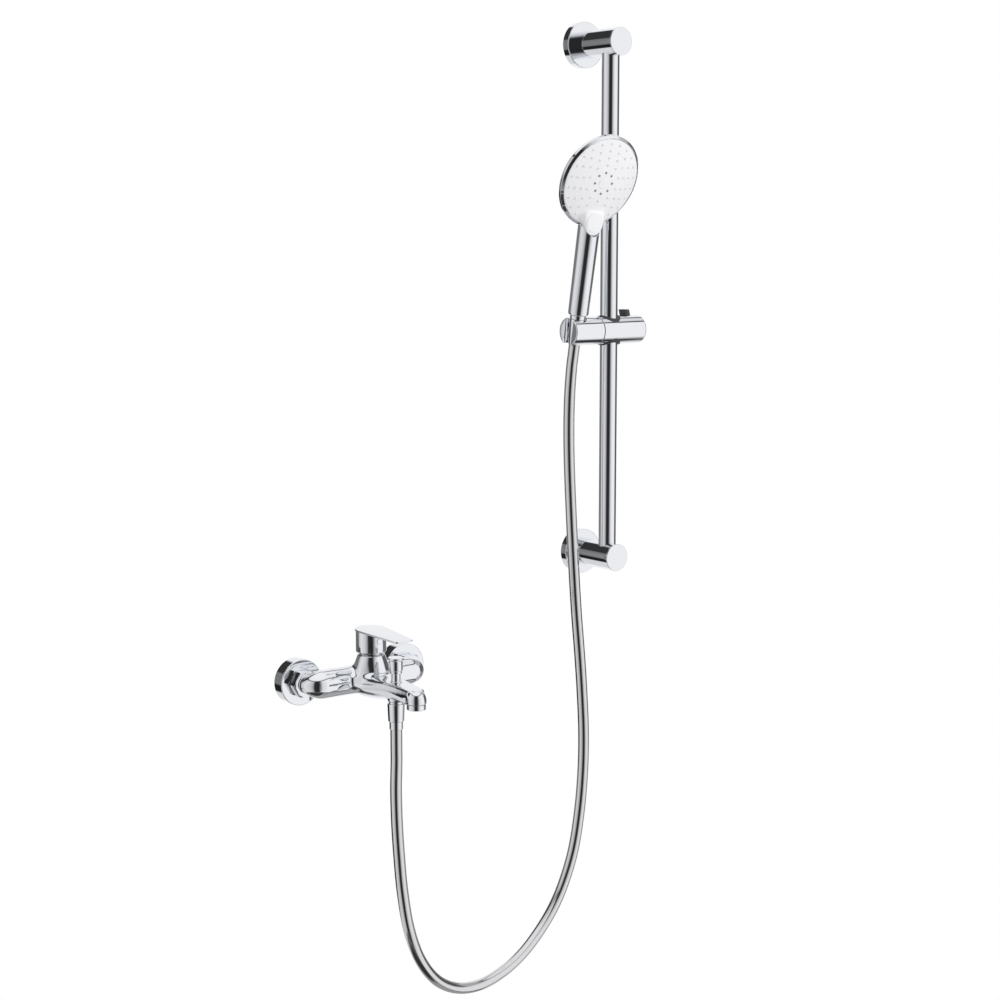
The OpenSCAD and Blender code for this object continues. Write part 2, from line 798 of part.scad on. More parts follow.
module lever_screw() {
    color("gray") at_column() translate([0, 0, plug_z]) off_wall() difference() {
        translate([0, 0, spindle_r]) cylinder(r = lever_screw_r, h = 8);
        translate([0, 0, spindle_r + 5]) cylinder(r = 1.2, h = 4, $fn = 6);
    }
}

module lever_plug() {
    color("whitesmoke") at_column() translate([0, 0, plug_z]) off_wall() translate([0, 0, drum_r - plug_t])
        round_top(plug_d / 2 - slip, 0, plug_t + 0.6, 0.5);
}

// Diverter

module diverter_bush() {
    color(chrome) at_diverter() difference() {
        union() {
            translate([0, 0, bush_bottom]) cylinder(r = bush_r, h = 4.4);
            translate([0, 0, bush_bottom]) cylinder(d = neck_d, h = bush_top - bush_bottom);
        }
        translate([0, 0, bush_bottom - 1]) cylinder(r = stem_r + slip, h = through);
    }
}

module diverter_knob() {
    r = knob_d / 2;
    lip = knob_lip_d / 2;
    lip_h = 3.2;
    top = bush_top + seat_gap + knob_h;
    color(chrome) at_diverter() difference() {
        union() {
            translate([0, 0, bush_top + seat_gap]) cylinder(r = r, h = knob_h - lip_h + bite);
            translate([0, 0, top - lip_h]) cylinder(r1 = r, r2 = lip, h = 0.8);
            round_top(lip, top - lip_h + 0.8, top, 1);
        }
        translate([0, 0, bush_top - 1]) cylinder(r = stem_r, h = 9);
    }
}

module diverter_stem() {
    color("gray") at_diverter() {
        translate([0, 0, seal_low]) cylinder(r = stem_r, h = bush_top + 8 - seal_low);
        translate([0, 0, seal_low - 5]) cylinder(r = 2, h = 5.2);
    }
}

module diverter_seal() {
    color(black) at_diverter() tube(valve_r - 1, stem_r, seal_low, seal_low + seal_t);
}

module diverter_spring() {
    color("gray") at_diverter() coil(4.6, 0.35, seal_low + seal_t + slip, bush_bottom - slip, 3);
}

// Outlet

module aerator_housing() {
    z0 = -nose_drop - aerator_h;
    color(chrome) at_outlet() difference() {
        union() {
            translate([0, 0, -nose_drop])
                cylinder(r = aerator_bore_r, h = nose_drop - aerator_seat - washer_t);
            mirror([0, 0, 1]) round_top(aerator_d / 2, nose_drop, nose_drop + aerator_h, 0.8);
        }
        translate([0, 0, z0 + 2]) cylinder(r = aerator_bore_r - 1.4, h = through);
        translate([0, 0, z0 - 1]) cylinder(r = aerator_bore_r - 2.4, h = through);
    }
}

// Straightener: a honeycomb of round holes
module aerator_insert() {
    z0 = -nose_drop - aerator_h + 2;
    r = aerator_bore_r - 1.4 - slip;
    h = aerator_h + nose_drop - aerator_seat - washer_t - 2.4;
    pitch = 3.1;
    color("lightgray") at_outlet() difference() {
        translate([0, 0, z0]) cylinder(r = r, h = h);
        for (i = [-2:2]) for (j = [-2:2]) let (x = pitch * (i + j / 2), y = pitch * j * sqrt(3) / 2)
            if (norm([x, y]) < r - 2) translate([x, y, z0 - 1]) cylinder(r = 1.2, h = h + 2);
    }
}

module aerator_washer() {
    color(black) at_outlet()
        tube(aerator_bore_r, channel_d / 2 + 1.6, -aerator_seat - washer_t, -aerator_seat);
}

module hose_nipple() {
    r = outlet_thread_d / 2;
    color(chrome) at_diverter() difference() {
        union() {
            translate([0, 0, -nipple_low]) cylinder(r = r - slip, h = nipple_low + chamber_low);
            translate([0, 0, -hose_nut_top + seat_gap])
                cylinder(r = outlet_boss_r - 1, h = hose_nut_top - outlet_boss_low - seat_gap);
        }
        translate([0, 0, -nipple_low - 1]) cylinder(r = nipple_bore_r, h = through);
    }
}

// Hose and its ends

module hose_nut_lower() {
    color(chrome) at_diverter() difference() {
        translate([0, 0, -hose_nut_low])
            cylinder(d1 = hose_nut_end_d, d2 = hose_nut_d, h = hose_nut_h);
        translate([0, 0, -nipple_low - washer_t]) cylinder(r = outlet_thread_d / 2 + slip, h = through);
        translate([0, 0, -hose_nut_low - 1]) cylinder(r = hose_lip_r + seat_gap, h = through);
    }
}

// Ferrule with the stem that holds the hose and seals on the nipple
module hose_ferrule_lower() {
    color(chrome) at_diverter() difference() {
        union() {
            translate([0, 0, -ferrule_low]) cylinder(d = ferrule_d, h = ferrule_h - seat_gap);
            translate([0, 0, -ferrule_low + 2])
                cylinder(r = hose_lip_r, h = ferrule_low - nipple_low - washer_t - 2);
        }
        translate([0, 0, -ferrule_low - 1]) cylinder(r = nipple_bore_r - 1, h = ferrule_low);
    }
}

module hose_washer_lower() {
    color(black) at_diverter() tube(hose_lip_r + 0.8, nipple_bore_r, -nipple_low - washer_t, -nipple_low);
}

module shower_hose() {
    low = [0, diverter_y, -ferrule_low];
    tilt = [0, -sin(handset_lean), cos(handset_lean)];
    high = [seat_x, -bar_reach, slider_h] + cone_low * tilt;
    straight = hose_d;
    path = concat(
        [low, low - [0, 0, straight]],
        curve(concat([low - [0, 0, 2 * straight]], hose_route, [high - 2 * straight * tilt]), hose_steps),
        [high - straight * tilt, high]);
    last = len(path) - 1;
    color("darkgray") skin([for (i = [0:last])
        ring(path[i], i == 0 ? [0, 0, -1] : i == last ? tilt : heading(path, i), hose_d / 2, hose_sides)]);
}

// Conical nut that sits in the holder
module hose_nut_upper() {
    color(chrome) in_seat() difference() {
        translate([0, 0, cone_low]) cylinder(d1 = cone_end_d, d2 = cone_top_d, h = cone_l);
        translate([0, 0, cone_high - 14]) cylinder(r = spigot_r + slip, h = through);
        translate([0, 0, cone_low - 1]) cylinder(r = nipple_bore_r - 1, h = cone_l + 2);
    }
}

module hose_washer_upper() {
    color(black) in_seat() tube(spigot_r - 0.2, nipple_bore_r - 1, cone_high - 14, cone_high - 12);
}

// Hand shower

module head_outline(r, depth, side) {
    steps = 12;
    polygon(concat([[0, 0], [r, 0]],
        [for (i = [0:steps]) let (a = 90 * i / steps)
            [r * cos(a), -side - (depth - side) * sin(a)]]));
}

// The lobe that carries the mode button, grown by a clearance
module lobe_body(grow) {
    at_mode() round_top(lobe_d / 2 + grow, lobe_back - grow, lobe_front + grow, lobe_edge_r);
}

module valve_way() at_mode() translate([0, 0, -through / 2]) cylinder(r = valve_hole_r, h = through);

// Room for the lobe and its valve in the plates behind the face
module lobe_room() {
    lobe_body(2 * seat_gap);
    valve_way();
}

module handset_shell() {
    neck_top = head_rise - head_r * 0.62;
    color(chrome) difference() {
        union() {
            at_face() rotate_extrude() head_outline(head_r, head_depth, rim_depth);
            in_seat() {
                rotate_extrude() polygon([[0, handle_low], [handle_low_d / 2 - 1.2, handle_low],
                    [handle_low_d / 2, handle_low + 1.2], [handle_top_d / 2, lobe_rise], [0, lobe_rise]]);
                hull() {
                    translate([0, 0, lobe_rise - 4]) cylinder(d = handle_top_d, h = 4, $fn = 48);
                    translate([0, 2, neck_top]) scale([1.9, 0.8, 1]) sphere(d = handle_top_d * 0.8, $fn = 32);
                }
            }
        }
        at_face() {
            translate([0, 0, -rim_depth - 1]) rotate_extrude()
                head_outline(face_r - seat_gap, head_depth - rim_depth - shell_wall - 1, 0);
            translate([0, 0, -rim_depth - 2]) cylinder(r = face_r, h = through);
        }
        at_mode() translate([0, 0, lobe_back - seat_gap]) cylinder(r = lobe_d / 2 + seat_gap, h = through);
        in_seat() translate([0, 0, handle_low - 1]) cylinder(r = handle_bore_r, h = neck_top - handle_low);
    }
}

// Threaded end of the handle
module handset_nipple() {
    color(chrome) in_seat() difference() {
        union() {
            translate([0, 0, cone_high - 11]) cylinder(r = spigot_r, h = handle_low - cone_high + 11);
            translate([0, 0, cone_high + seat_gap])
                cylinder(r = cone_top_d / 2 - bite, h = handle_low - cone_high - seat_gap);
            translate([0, 0, handle_low - bite]) cylinder(r = handle_bore_r - slip, h = 14);
        }
        translate([0, 0, cone_high - 12]) cylinder(r = nipple_bore_r - 1, h = 2 * through);
    }
}

// Plate that parts the water between the rings of jets
module water_plate() {
    color("lightgray") difference() {
        at_face() translate([0, 0, -rim_depth - 0.6]) cylinder(r = face_r - 0.6, h = 2.4);
        at_face() for (k = [0:5]) rotate([0, 0, 60 * k + 30]) translate([feed_at, 0, -through / 2])
            cylinder(r = feed_r, h = through);
        lobe_room();
    }
}

// True when a nozzle on the face would lie under the lobe
function under_lobe(a, r) =
    norm([r * cos(a), r * sin(a) + lobe_drop]) < lobe_keep;
function face_height(r) = sqrt(dome_sphere_r * dome_sphere_r - r * r) - dome_sphere_r + face_dome;

module each_nozzle() {
    for (row = nozzle_rings) for (k = [0:row[0] - 1]) let (a = 90 + 360 * k / row[0])
        if (!under_lobe(a, row[1])) rotate([0, 0, a]) translate([row[1], 0, 0]) {
            $row_r = row[1];
            children();
        }
}

module each_jet() {
    for (k = [0:jet_count - 1]) rotate([0, 0, 90 + 360 * k / jet_count])
        translate([jet_ring_r, 0, 0]) children();
}

// Rubber mat behind the face, with a nozzle for each jet
module nozzle_mat() {
    color("gainsboro") difference() {
        at_face() {
            translate([0, 0, -mat_front]) cylinder(r = mat_r, h = mat_t);
            each_nozzle() translate([0, 0, -mat_front + bite]) cylinder(r1 = nozzle_r, r2 = nozzle_r * 0.8,
                h = mat_front - bite + face_height($row_r) + nozzle_proud);
        }
        at_face() translate([0, 0, -through / 2]) cylinder(r = jet_ring_r + 4, h = through);
        lobe_room();
    }
}

// Dark ring of strong jets in the middle
module jet_insert() {
    color(black) at_face() {
        translate([0, 0, -mat_front]) cylinder(r = jet_ring_r + 3, h = mat_t);
        each_jet() translate([0, 0, -mat_front + bite])
            cylinder(r = nozzle_r, h = mat_front + face_height(jet_ring_r));
    }
}

// Domed face with a hole for each jet, and the lobe for the mode button
module face_plate() {
    color(white) difference() {
        union() {
            at_face() difference() {
                intersection() {
                    translate([0, 0, face_dome - dome_sphere_r]) sphere(dome_sphere_r, $fn = 200);
                    translate([0, 0, -face_t]) cylinder(r = face_r - seat_gap, h = through);
                }
                translate([0, 0, face_dome - dome_sphere_r]) intersection() {
                    sphere(dome_sphere_r - face_t, $fn = 200);
                    cylinder(r = face_r - 3, h = 2 * dome_sphere_r);
                }
                translate([0, 0, -face_t - 1]) cylinder(r = face_r - 3, h = 1 + face_t - 0.2);
            }
            lobe_body(0);
        }
        at_face() {
            each_nozzle() translate([0, 0, -through / 2]) cylinder(r = nozzle_hole_r, h = through);
            each_jet() translate([0, 0, -through / 2]) cylinder(r = nozzle_hole_r, h = through);
        }
        at_mode() translate([0, 0, lobe_front - 5]) cylinder(r = mode_d / 2, h = through);
        valve_way();
    }
}

// Valve stem that the mode button pushes
module mode_valve() {
    reach = 4;
    color("lightgray") at_mode() translate([0, 0, lobe_back - reach])
        cylinder(r = valve_hole_r - 0.4, h = mode_low - lobe_back + reach);
}

module mode_button() {
    color(white) at_mode() round_top(mode_d / 2 - 0.2, mode_low, lobe_front + mode_proud, 0.9);
}

// Rail

module rail_bar() {
    color(chrome) translate([rail_x, -bar_reach, rail_low])
        tube(bar_r, bar_r - bar_wall, -bar_sink, rail_span + bar_sink);
}

module rail_post(high) {
    color(chrome) difference() {
        at_post(high) difference() {
            translate([0, 0, flange_t]) cylinder(r = post_r, h = post_reach - post_cap_t - flange_t);
            cylinder(r = hub_r + slip, h = hub_l + seat_gap);
        }
        translate([rail_x, -bar_reach, high ? rail_top + bar_sink : rail_low - bar_sink])
            mirror([0, 0, high ? 1 : 0]) cylinder(r = bar_r + slip, h = 2 * through);
        translate([rail_x, -(flange_t + hub_l) / 2, high ? rail_top : rail_low])
            rotate([180, 0, 0]) cylinder(r = grub_r, h = post_r + 5);
    }
}
module rail_post_top() rail_post(true);
module rail_post_bottom() rail_post(false);

module rail_flange(high) {
    edge = 0.8;
    r = flange_d / 2;
    color(chrome) at_post(high) rotate_extrude() polygon([
        [hub_r + slip, 0], [r, 0], [r, flange_t - edge], [r - edge, flange_t], [hub_r + slip, flange_t]]);
}
module rail_flange_top() rail_flange(true);
module rail_flange_bottom() rail_flange(false);

module post_cap(high) {
    color(chrome) at_post(high)
        round_top(post_r, post_reach - post_cap_t, post_reach, 0.4);
}
module post_cap_top() post_cap(true);
module post_cap_bottom() post_cap(false);

// Hubs that the wall screws hold, under the flanges and posts
module wall_hubs() {
    color("gray") for (high = [false, true]) at_post(high) difference() {
        cylinder(r = hub_r, h = hub_l);
        translate([0, 0, -1]) cylinder(d = wall_screw_d + 2 * slip, h = hub_l + 2);
        translate([0, 0, hub_l - screw_head_t])
            cylinder(d1 = wall_screw_d + seat_gap, d2 = 2 * wall_screw_d + seat_gap, h = screw_head_t + 0.01);
    }
}

module wall_screws() {
    color("gray") for (high = [false, true]) at_post(high) {
        translate([0, 0, -wall_screw_l]) cylinder(d = wall_screw_d, h = wall_screw_l - seam_gap);
        translate([0, 0, -seam_gap - bite])
            cylinder(d = wall_screw_d - 2 * bite, h = hub_l - screw_head_t + seam_gap + 2 * bite);
        translate([0, 0, hub_l - screw_head_t])
            cylinder(d1 = wall_screw_d, d2 = 2 * wall_screw_d, h = screw_head_t - 0.1);
    }
}

module grub_screws() {
    color("gray") for (z = [rail_low, rail_top])
        translate([rail_x, -(flange_t + hub_l) / 2, z - post_r + 1])
            cylinder(r = grub_r - slip, h = post_r - hub_r - 1);
}

// Slider

module slider_bush() {
    color(black) at_slider() intersection() {
        tube(bush_r_out, bar_r + slip, -slider_r - 4, slider_r + 4);
        rotate([0, 90, 0]) translate([0, 0, -slider_d]) cylinder(r = slider_r + bush_proud, h = 2 * slider_d);
    }
}

module slider_body() {
    color(chrome) difference() {
        translate([body_left, -bar_reach, slider_h]) rotate([0, 90, 0]) difference() {
            round_top(slider_r, 0, body_right - body_left, 2.5);
            translate([0, 0, -1]) cylinder(r = pivot_r, h = 7);
        }
        at_slider() translate([0, 0, -slider_d]) cylinder(r = bush_r_out + slip, h = 2 * slider_d);
        at_release() {
            translate([0, 0, release_low - release_travel - seat_gap])
                cylinder(r = release_d / 2 + bite, h = through);
            translate([0, 0, spring_floor]) cylinder(r = spring_r + 0.8, h = through);
            cylinder(r = release_guide_r + slip, h = through);
        }
    }
}

module slider_button() {
    color(black) at_release() {
        round_top(release_d / 2, release_low, slider_r + release_h, 0.6);
        translate([0, 0, release_travel + seat_gap]) cylinder(r = release_guide_r, h = slider_r);
    }
}

module button_spring() {
    color("gray") at_release()
        coil(spring_r, 0.4, spring_floor + slip, release_low - slip, 3);
}

// Tilting holder: a conical seat, with a slot that opens through the left end
module holder() {
    length = holder_right - holder_left;
    taper = (cone_top_d - cone_end_d) / 2 / cone_l;
    reach = slider_r + 6;
    seat_r = cone_end_d / 2 + seat_gap - taper * cone_low;
    color(chrome) difference() {
        translate([holder_right, -bar_reach, slider_h]) rotate([0, -90, 0]) difference() {
            round_top(slider_r, 0, length, edge_r);
            translate([0, 0, -1]) cylinder(r = pivot_r + slip, h = pivot_l + 1);
        }
        in_seat() {
            translate([0, 0, -reach])
                cylinder(r1 = seat_r - taper * reach, r2 = seat_r + taper * reach, h = 2 * reach);
            translate([-slider_left, -slot_w / 2, -reach]) cube([slider_left, slot_w, 2 * reach]);
        }
    }
}

// Pin that the holder turns on
module holder_pivot() {
    color("gray") translate([body_left - seam_gap - pivot_l + 1, -bar_reach, slider_h]) rotate([0, 90, 0])
        cylinder(r = pivot_r, h = pivot_l + seam_gap + 5);
}

mixer_body();
union_left();
union_right();
escutcheon_left();
escutcheon_right();
union_nut_left();
union_nut_right();
union_washers();
cartridge_base();
cartridge_housing();
fixed_disc();
moving_disc();
cartridge_driver();
cartridge_pin();
cartridge_spindle();
cartridge_nut();
cap_ring();
lever();
lever_screw();
lever_plug();
diverter_bush();
diverter_knob();
diverter_stem();
diverter_seal();
diverter_spring();
aerator_housing();
aerator_insert();
aerator_washer();
hose_nipple();
hose_nut_lower();
hose_ferrule_lower();
hose_washer_lower();
shower_hose();
hose_nut_upper();
hose_washer_upper();
handset_shell();
handset_nipple();
water_plate();
nozzle_mat();
jet_insert();
face_plate();
mode_valve();
mode_button();
rail_bar();
rail_post_top();
rail_post_bottom();
rail_flange_top();
rail_flange_bottom();
post_cap_top();
post_cap_bottom();
wall_hubs();
wall_screws();
grub_screws();
slider_bush();
slider_body();
slider_button();
button_spring();
holder();
holder_pivot();
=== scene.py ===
import json
import math

import bpy
from mathutils import Matrix, Vector


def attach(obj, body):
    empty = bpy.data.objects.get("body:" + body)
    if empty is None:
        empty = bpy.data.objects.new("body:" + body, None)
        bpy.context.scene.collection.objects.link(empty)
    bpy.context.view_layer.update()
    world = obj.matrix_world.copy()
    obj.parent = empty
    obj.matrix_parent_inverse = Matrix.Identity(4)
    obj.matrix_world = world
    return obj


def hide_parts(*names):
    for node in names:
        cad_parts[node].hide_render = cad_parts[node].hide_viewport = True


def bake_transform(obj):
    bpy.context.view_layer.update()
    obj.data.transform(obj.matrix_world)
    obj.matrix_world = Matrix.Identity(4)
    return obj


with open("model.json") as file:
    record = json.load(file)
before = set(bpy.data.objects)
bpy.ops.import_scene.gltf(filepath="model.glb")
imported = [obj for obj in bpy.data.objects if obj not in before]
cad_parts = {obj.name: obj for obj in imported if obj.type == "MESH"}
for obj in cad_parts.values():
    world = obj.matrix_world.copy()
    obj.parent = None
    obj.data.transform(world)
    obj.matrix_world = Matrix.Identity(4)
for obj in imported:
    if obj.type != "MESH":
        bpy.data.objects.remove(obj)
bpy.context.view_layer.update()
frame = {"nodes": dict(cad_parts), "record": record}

# Lengths of the object are written in millimetres, and this makes them Blender's metres
MM = 0.001

# Places that several pieces share, as in the part's own frame
INLET_X = 75
COLUMN_Y = -54
DIVERTER_Y = -106.5
OUTLET_Y = -148.5
RAIL_X = 364.5
RAIL_LOW, RAIL_HIGH = 115, 769
BAR_Y = -59.5
SLIDER_Z = 408
SEAT_X = 310.5
SEAT_LEAN = 10.5


def turn(degrees, axis):
    return Matrix.Rotation(math.radians(degrees), 4, axis)


def shift(x, y, z):
    return Matrix.Translation((x * MM, y * MM, z * MM))


def off_wall(x, z):
    """Z points out of the wall, at a place on it."""
    return shift(x, 0, z) @ turn(90, "X")


AT_COLUMN = shift(0, COLUMN_Y, 0)
AT_DIVERTER = shift(0, DIVERTER_Y, 0)
AT_OUTLET = shift(0, OUTLET_Y, 0)
ALONG_SLIDER = shift(0, BAR_Y, SLIDER_Z) @ turn(90, "Y")
SEAT = shift(SEAT_X, BAR_Y, SLIDER_Z) @ turn(SEAT_LEAN, "X")
FACE = SEAT @ shift(0, -12.4, 191.5) @ turn(102.5, "X")
MODE = SEAT @ shift(0, 0, 140.5) @ turn(90, "X")
RELEASE = shift(RAIL_X + 32, BAR_Y, SLIDER_Z) @ turn(-17, "X")


# Camera, as fitted to the photo

VIEW_TURN = -37.168
VIEW_DIP = 7.870
lens = bpy.data.cameras.new("camera")
lens.sensor_width = 36
lens.lens = 71.285
camera = bpy.data.objects.new("camera", lens)
camera.location = (-1.283466, -2.00267, 0.539793)
camera.rotation_euler = (math.radians(90 - VIEW_DIP), 0, math.radians(VIEW_TURN))
bpy.context.scene.collection.objects.link(camera)
bpy.context.scene.camera = camera
bpy.context.scene.view_settings.view_transform = "Standard"


# Materials

def linear(code):
    """Linear colour of an sRGB hex value."""
    parts = [int(code[i:i + 2], 16) / 255 for i in (1, 3, 5)]
    return tuple(c / 12.92 if c <= 0.04045 else ((c + 0.055) / 1.055) ** 2.4 for c in parts) + (1,)


def add(tree, kind, settings=None, **links):
    """A node with its settings, and its inputs set or linked by name; two underscores stand before a place number."""
    made = tree.nodes.new(kind)
    for name, value in (settings or {}).items():
        setattr(made, name, value)
    for name, value in links.items():
        socket = made.inputs[int(name[2:])] if name.startswith("__") else made.inputs[name.replace("_", " ")]
        if isinstance(value, bpy.types.NodeSocket):
            tree.links.new(value, socket)
        else:
            socket.default_value = value
    return made


def plain(name, colour, **sockets):
    """A new material of one colour, with other sockets of its shader set by name."""
    material = bpy.data.materials.new(name)
    material.use_nodes = True
    shader = material.node_tree.nodes["Principled BSDF"]
    shader.inputs["Base Color"].default_value = linear(colour)
    for socket, value in sockets.items():
        shader.inputs[socket.replace("_", " ")].default_value = value
    return material, material.node_tree, shader


# Nearly all of a noise lies between these levels
NOISE_LOW, NOISE_HIGH = 0.3, 0.7


def grained(name, colour, grain_mm, smoothest, roughest, bump_mm=0, **sockets):
    """A material whose roughness wanders between two values on a grain of that size, and a bump of the same grain."""
    material, tree, shader = plain(name, colour, **sockets)
    place = add(tree, "ShaderNodeTexCoord").outputs["Object"]
    noise = add(tree, "ShaderNodeTexNoise", None, Vector=place, Scale=1 / (grain_mm * MM), Detail=3.0)
    spread = add(tree, "ShaderNodeMapRange", None, Value=noise.outputs["Fac"],
                 From_Min=NOISE_LOW, From_Max=NOISE_HIGH, To_Min=smoothest, To_Max=roughest)
    tree.links.new(spread.outputs["Result"], shader.inputs["Roughness"])
    if bump_mm:
        bump = add(tree, "ShaderNodeBump", None, Strength=1.0, Distance=bump_mm * MM, Height=noise.outputs["Fac"])
        tree.links.new(bump.outputs["Normal"], shader.inputs["Normal"])
    return material


BY_SLOT = {
    # Chrome plate over polished brass and zinc: a sharp cool mirror, with the faintest haze where it was wiped
    "chrome_plate": grained("polished_chrome_plate", "#EDEFF2", 18, 0.015, 0.05, Metallic=1.0),
    # Satin chrome on the finely wound hose: the same mirror gone greyer and soft, its turns too fine to tell apart
    "hose_metal": grained("satin_chrome_wound_strip", "#DCDCDD", 25, 0.1, 0.14, Metallic=1.0),
    # Moulded ABS, polished mould: clean white with a clear sheen that wanders faintly
    "plastic_white": grained("white_gloss_abs", "#F3F3F5", 9, 0.2, 0.28, IOR=1.53, Coat_Weight=0.3,
                             Coat_Roughness=0.06),
    # Silicone rubber: pale grey and dull, and it lets a little light in
    "silicone_mat": grained("pale_silicone", "#ECECEF", 0.8, 0.5, 0.65, Subsurface_Weight=0.15,
                            Subsurface_Radius=(2 * MM, 2 * MM, 2 * MM)),
    # Moulded nylon, fine spark-eroded texture: dark grey, soft sheen on the grain
    "plastic_dark": grained("dark_moulded_nylon", "#3B3C3E", 0.5, 0.38, 0.55, 0.03, IOR=1.53),
    # Moulded acetal of the inner pieces: milky, dull
    "plastic_inner": grained("milky_acetal", "#D9D8D4", 1.5, 0.4, 0.5),
    # Turned brass, left bare: warm yellow with the fine grain of the tool
    "brass_raw": grained("turned_bare_brass", "#C8A45C", 0.6, 0.22, 0.36, 0.01, Metallic=1.0),
    # Stainless steel, drawn and cut: grey with the fine grain of the tool
    "steel_small": grained("drawn_stainless_steel", "#B4B4B2", 0.6, 0.25, 0.38, 0.01, Metallic=1.0),
    # Moulded rubber washers: black and dull
    "rubber_black": grained("black_moulded_rubber", "#1C1C1C", 0.7, 0.6, 0.8, 0.02),
    # Ground alumina discs: ivory, fine matt
    "ceramic_disc": grained("ground_alumina", "#E9E5D8", 0.4, 0.3, 0.42),
}
SLOT_OF = {part["node"]: part["material_slot"] for part in frame["record"]["subparts"]}
for node, piece in frame["nodes"].items():
    piece.data.materials.clear()
    piece.data.materials.append(BY_SLOT[SLOT_OF[node]])


# Ways of shaping

MERGE = 2e-6
SMOOTHING = 0.5


def alone(piece=None):
    """Back to object mode, with that piece as the only one selected, or none."""
    if bpy.context.object and bpy.context.object.mode != "OBJECT":
        bpy.ops.object.mode_set(mode="OBJECT")
    bpy.ops.object.select_all(action="DESELECT")
    if piece:
        piece.select_set(True)
        bpy.context.view_layer.objects.active = piece


def put(piece, at):
    """Sets a piece in its place and leaves that place in its mesh."""
    alone(piece)
    piece.matrix_world = at
    bpy.ops.object.transform_apply(location=True, rotation=True, scale=True)
    return piece


# Distance of the point that stands beside each fillet
HOLD = 0.06


def eased(corners, steps=5):
    """Points of a profile with its corners rounded: each corner is (radius, height, fillet).
    A point close beside each fillet keeps the long faces flat to the light."""
    points = []
    for i, (r, z, fillet) in enumerate(corners):
        corner = Vector((r, z))
        if not fillet:
            points.append(corner)
            continue
        back = (Vector(corners[i - 1][:2]) - corner).normalized()
        on = (Vector(corners[i + 1][:2]) - corner).normalized()
        half = back.angle(on) / 2
        centre = corner + (back + on).normalized() * fillet / math.sin(half)
        first = corner + back * fillet / math.tan(half) - centre
        last = corner + on * fillet / math.tan(half) - centre
        arc = first.angle(last)
        points.append(centre + first + back * HOLD)
        for k in range(steps + 1):
            t = k / steps
            points.append(centre + (math.sin((1 - t) * arc) * first + math.sin(t * arc) * last) / math.sin(arc))
        points.append(centre + last + on * HOLD)
    return points


def turned(name, corners, at, sides=96):
    """A piece turned on a lathe: one vertex drawn along the profile, spun about Z, and set in its place."""
    profile = [Vector((p.x, 0, p.y)) * MM for p in eased(corners)]
    alone()
    bpy.ops.mesh.primitive_plane_add(size=MM)
    piece = bpy.context.object
    piece.name = name
    bpy.ops.object.mode_set(mode="EDIT")
    bpy.ops.mesh.merge(type="CENTER")
    bpy.ops.transform.translate(value=profile[0])
    for here, there in zip(profile, profile[1:]):
        bpy.ops.mesh.extrude_region_move(TRANSFORM_OT_translate={"value": there - here})
    bpy.ops.mesh.select_all(action="SELECT")
    bpy.ops.mesh.spin(steps=sides, angle=2 * math.pi, center=(0, 0, 0), axis=(0, 0, 1))
    bpy.ops.mesh.select_all(action="SELECT")
    bpy.ops.mesh.remove_doubles(threshold=MERGE)
    bpy.ops.mesh.normals_make_consistent(inside=False)
    bpy.ops.object.mode_set(mode="OBJECT")
    return put(piece, at)


def rod(name, r, start, end):
    """A plain round rod between two points, to fill a bore or cut a hole."""
    start, end = Vector(start) * MM, Vector(end) * MM
    alone()
    bpy.ops.mesh.primitive_cylinder_add(vertices=32, radius=r * MM, depth=(end - start).length)
    piece = bpy.context.object
    piece.name = name
    return put(piece, Matrix.Translation((start + end) / 2)
               @ (end - start).to_track_quat("Z", "Y").to_matrix().to_4x4())


def block(name, low, high, at):
    """A box between two corners, for a cut."""
    alone()
    low, high = Vector(low) * MM, Vector(high) * MM
    bpy.ops.mesh.primitive_cube_add(size=1, location=(low + high) / 2, scale=high - low)
    piece = bpy.context.object
    piece.name = name
    bpy.ops.object.transform_apply(location=True, rotation=True, scale=True)
    return put(piece, at)


def hull(name, discs, low, high):
    """The convex hull of discs between two heights: each disc is (sides, radius, x, y)."""
    def disc(sides, r, x, y):
        bpy.ops.mesh.primitive_cylinder_add(vertices=sides, radius=r * MM, depth=(high - low) * MM,
                                            location=(x * MM, y * MM, (low + high) / 2 * MM))

    alone()
    disc(*discs[0])
    piece = bpy.context.object
    piece.name = name
    bpy.ops.object.mode_set(mode="EDIT")
    for each in discs[1:]:
        disc(*each)
    bpy.ops.mesh.select_all(action="SELECT")
    bpy.ops.mesh.convex_hull()
    bpy.ops.mesh.select_all(action="SELECT")
    bpy.ops.mesh.dissolve_limited(angle_limit=math.radians(1))
    bpy.ops.object.mode_set(mode="OBJECT")
    bpy.ops.object.transform_apply(location=True, rotation=True, scale=True)
    return piece


def copied(node, name):
    """A copy of a CAD node's mesh as a piece of its own, with its loose triangles merged."""
    piece = frame["nodes"][node].copy()
    piece.data = piece.data.copy()
    piece.name = name
    piece.parent = None
    for key in list(piece.keys()):
        del piece[key]
    bpy.context.scene.collection.objects.link(piece)
    alone(piece)
    bpy.ops.mesh.customdata_custom_splitnormals_clear()
    bpy.ops.object.mode_set(mode="EDIT")
    bpy.ops.mesh.select_all(action="SELECT")
    bpy.ops.mesh.remove_doubles(threshold=MERGE)
    bpy.ops.object.mode_set(mode="OBJECT")
    return piece


def modified(piece, kind, **settings):
    """Adds a modifier and applies it."""
    alone(piece)
    modifier = piece.modifiers.new(kind.lower(), kind)
    for name, value in settings.items():
        setattr(modifier, name, value)
    bpy.ops.object.modifier_apply(modifier=modifier.name)
    return piece


def carved(piece, *cutters, operation="DIFFERENCE"):
    """Cuts pieces out of another, or unites or intersects it with them, and uses them up."""
    for cutter in cutters:
        modified(piece, "BOOLEAN", operation=operation, object=cutter, solver="EXACT")
        bpy.data.objects.remove(cutter)
    return piece


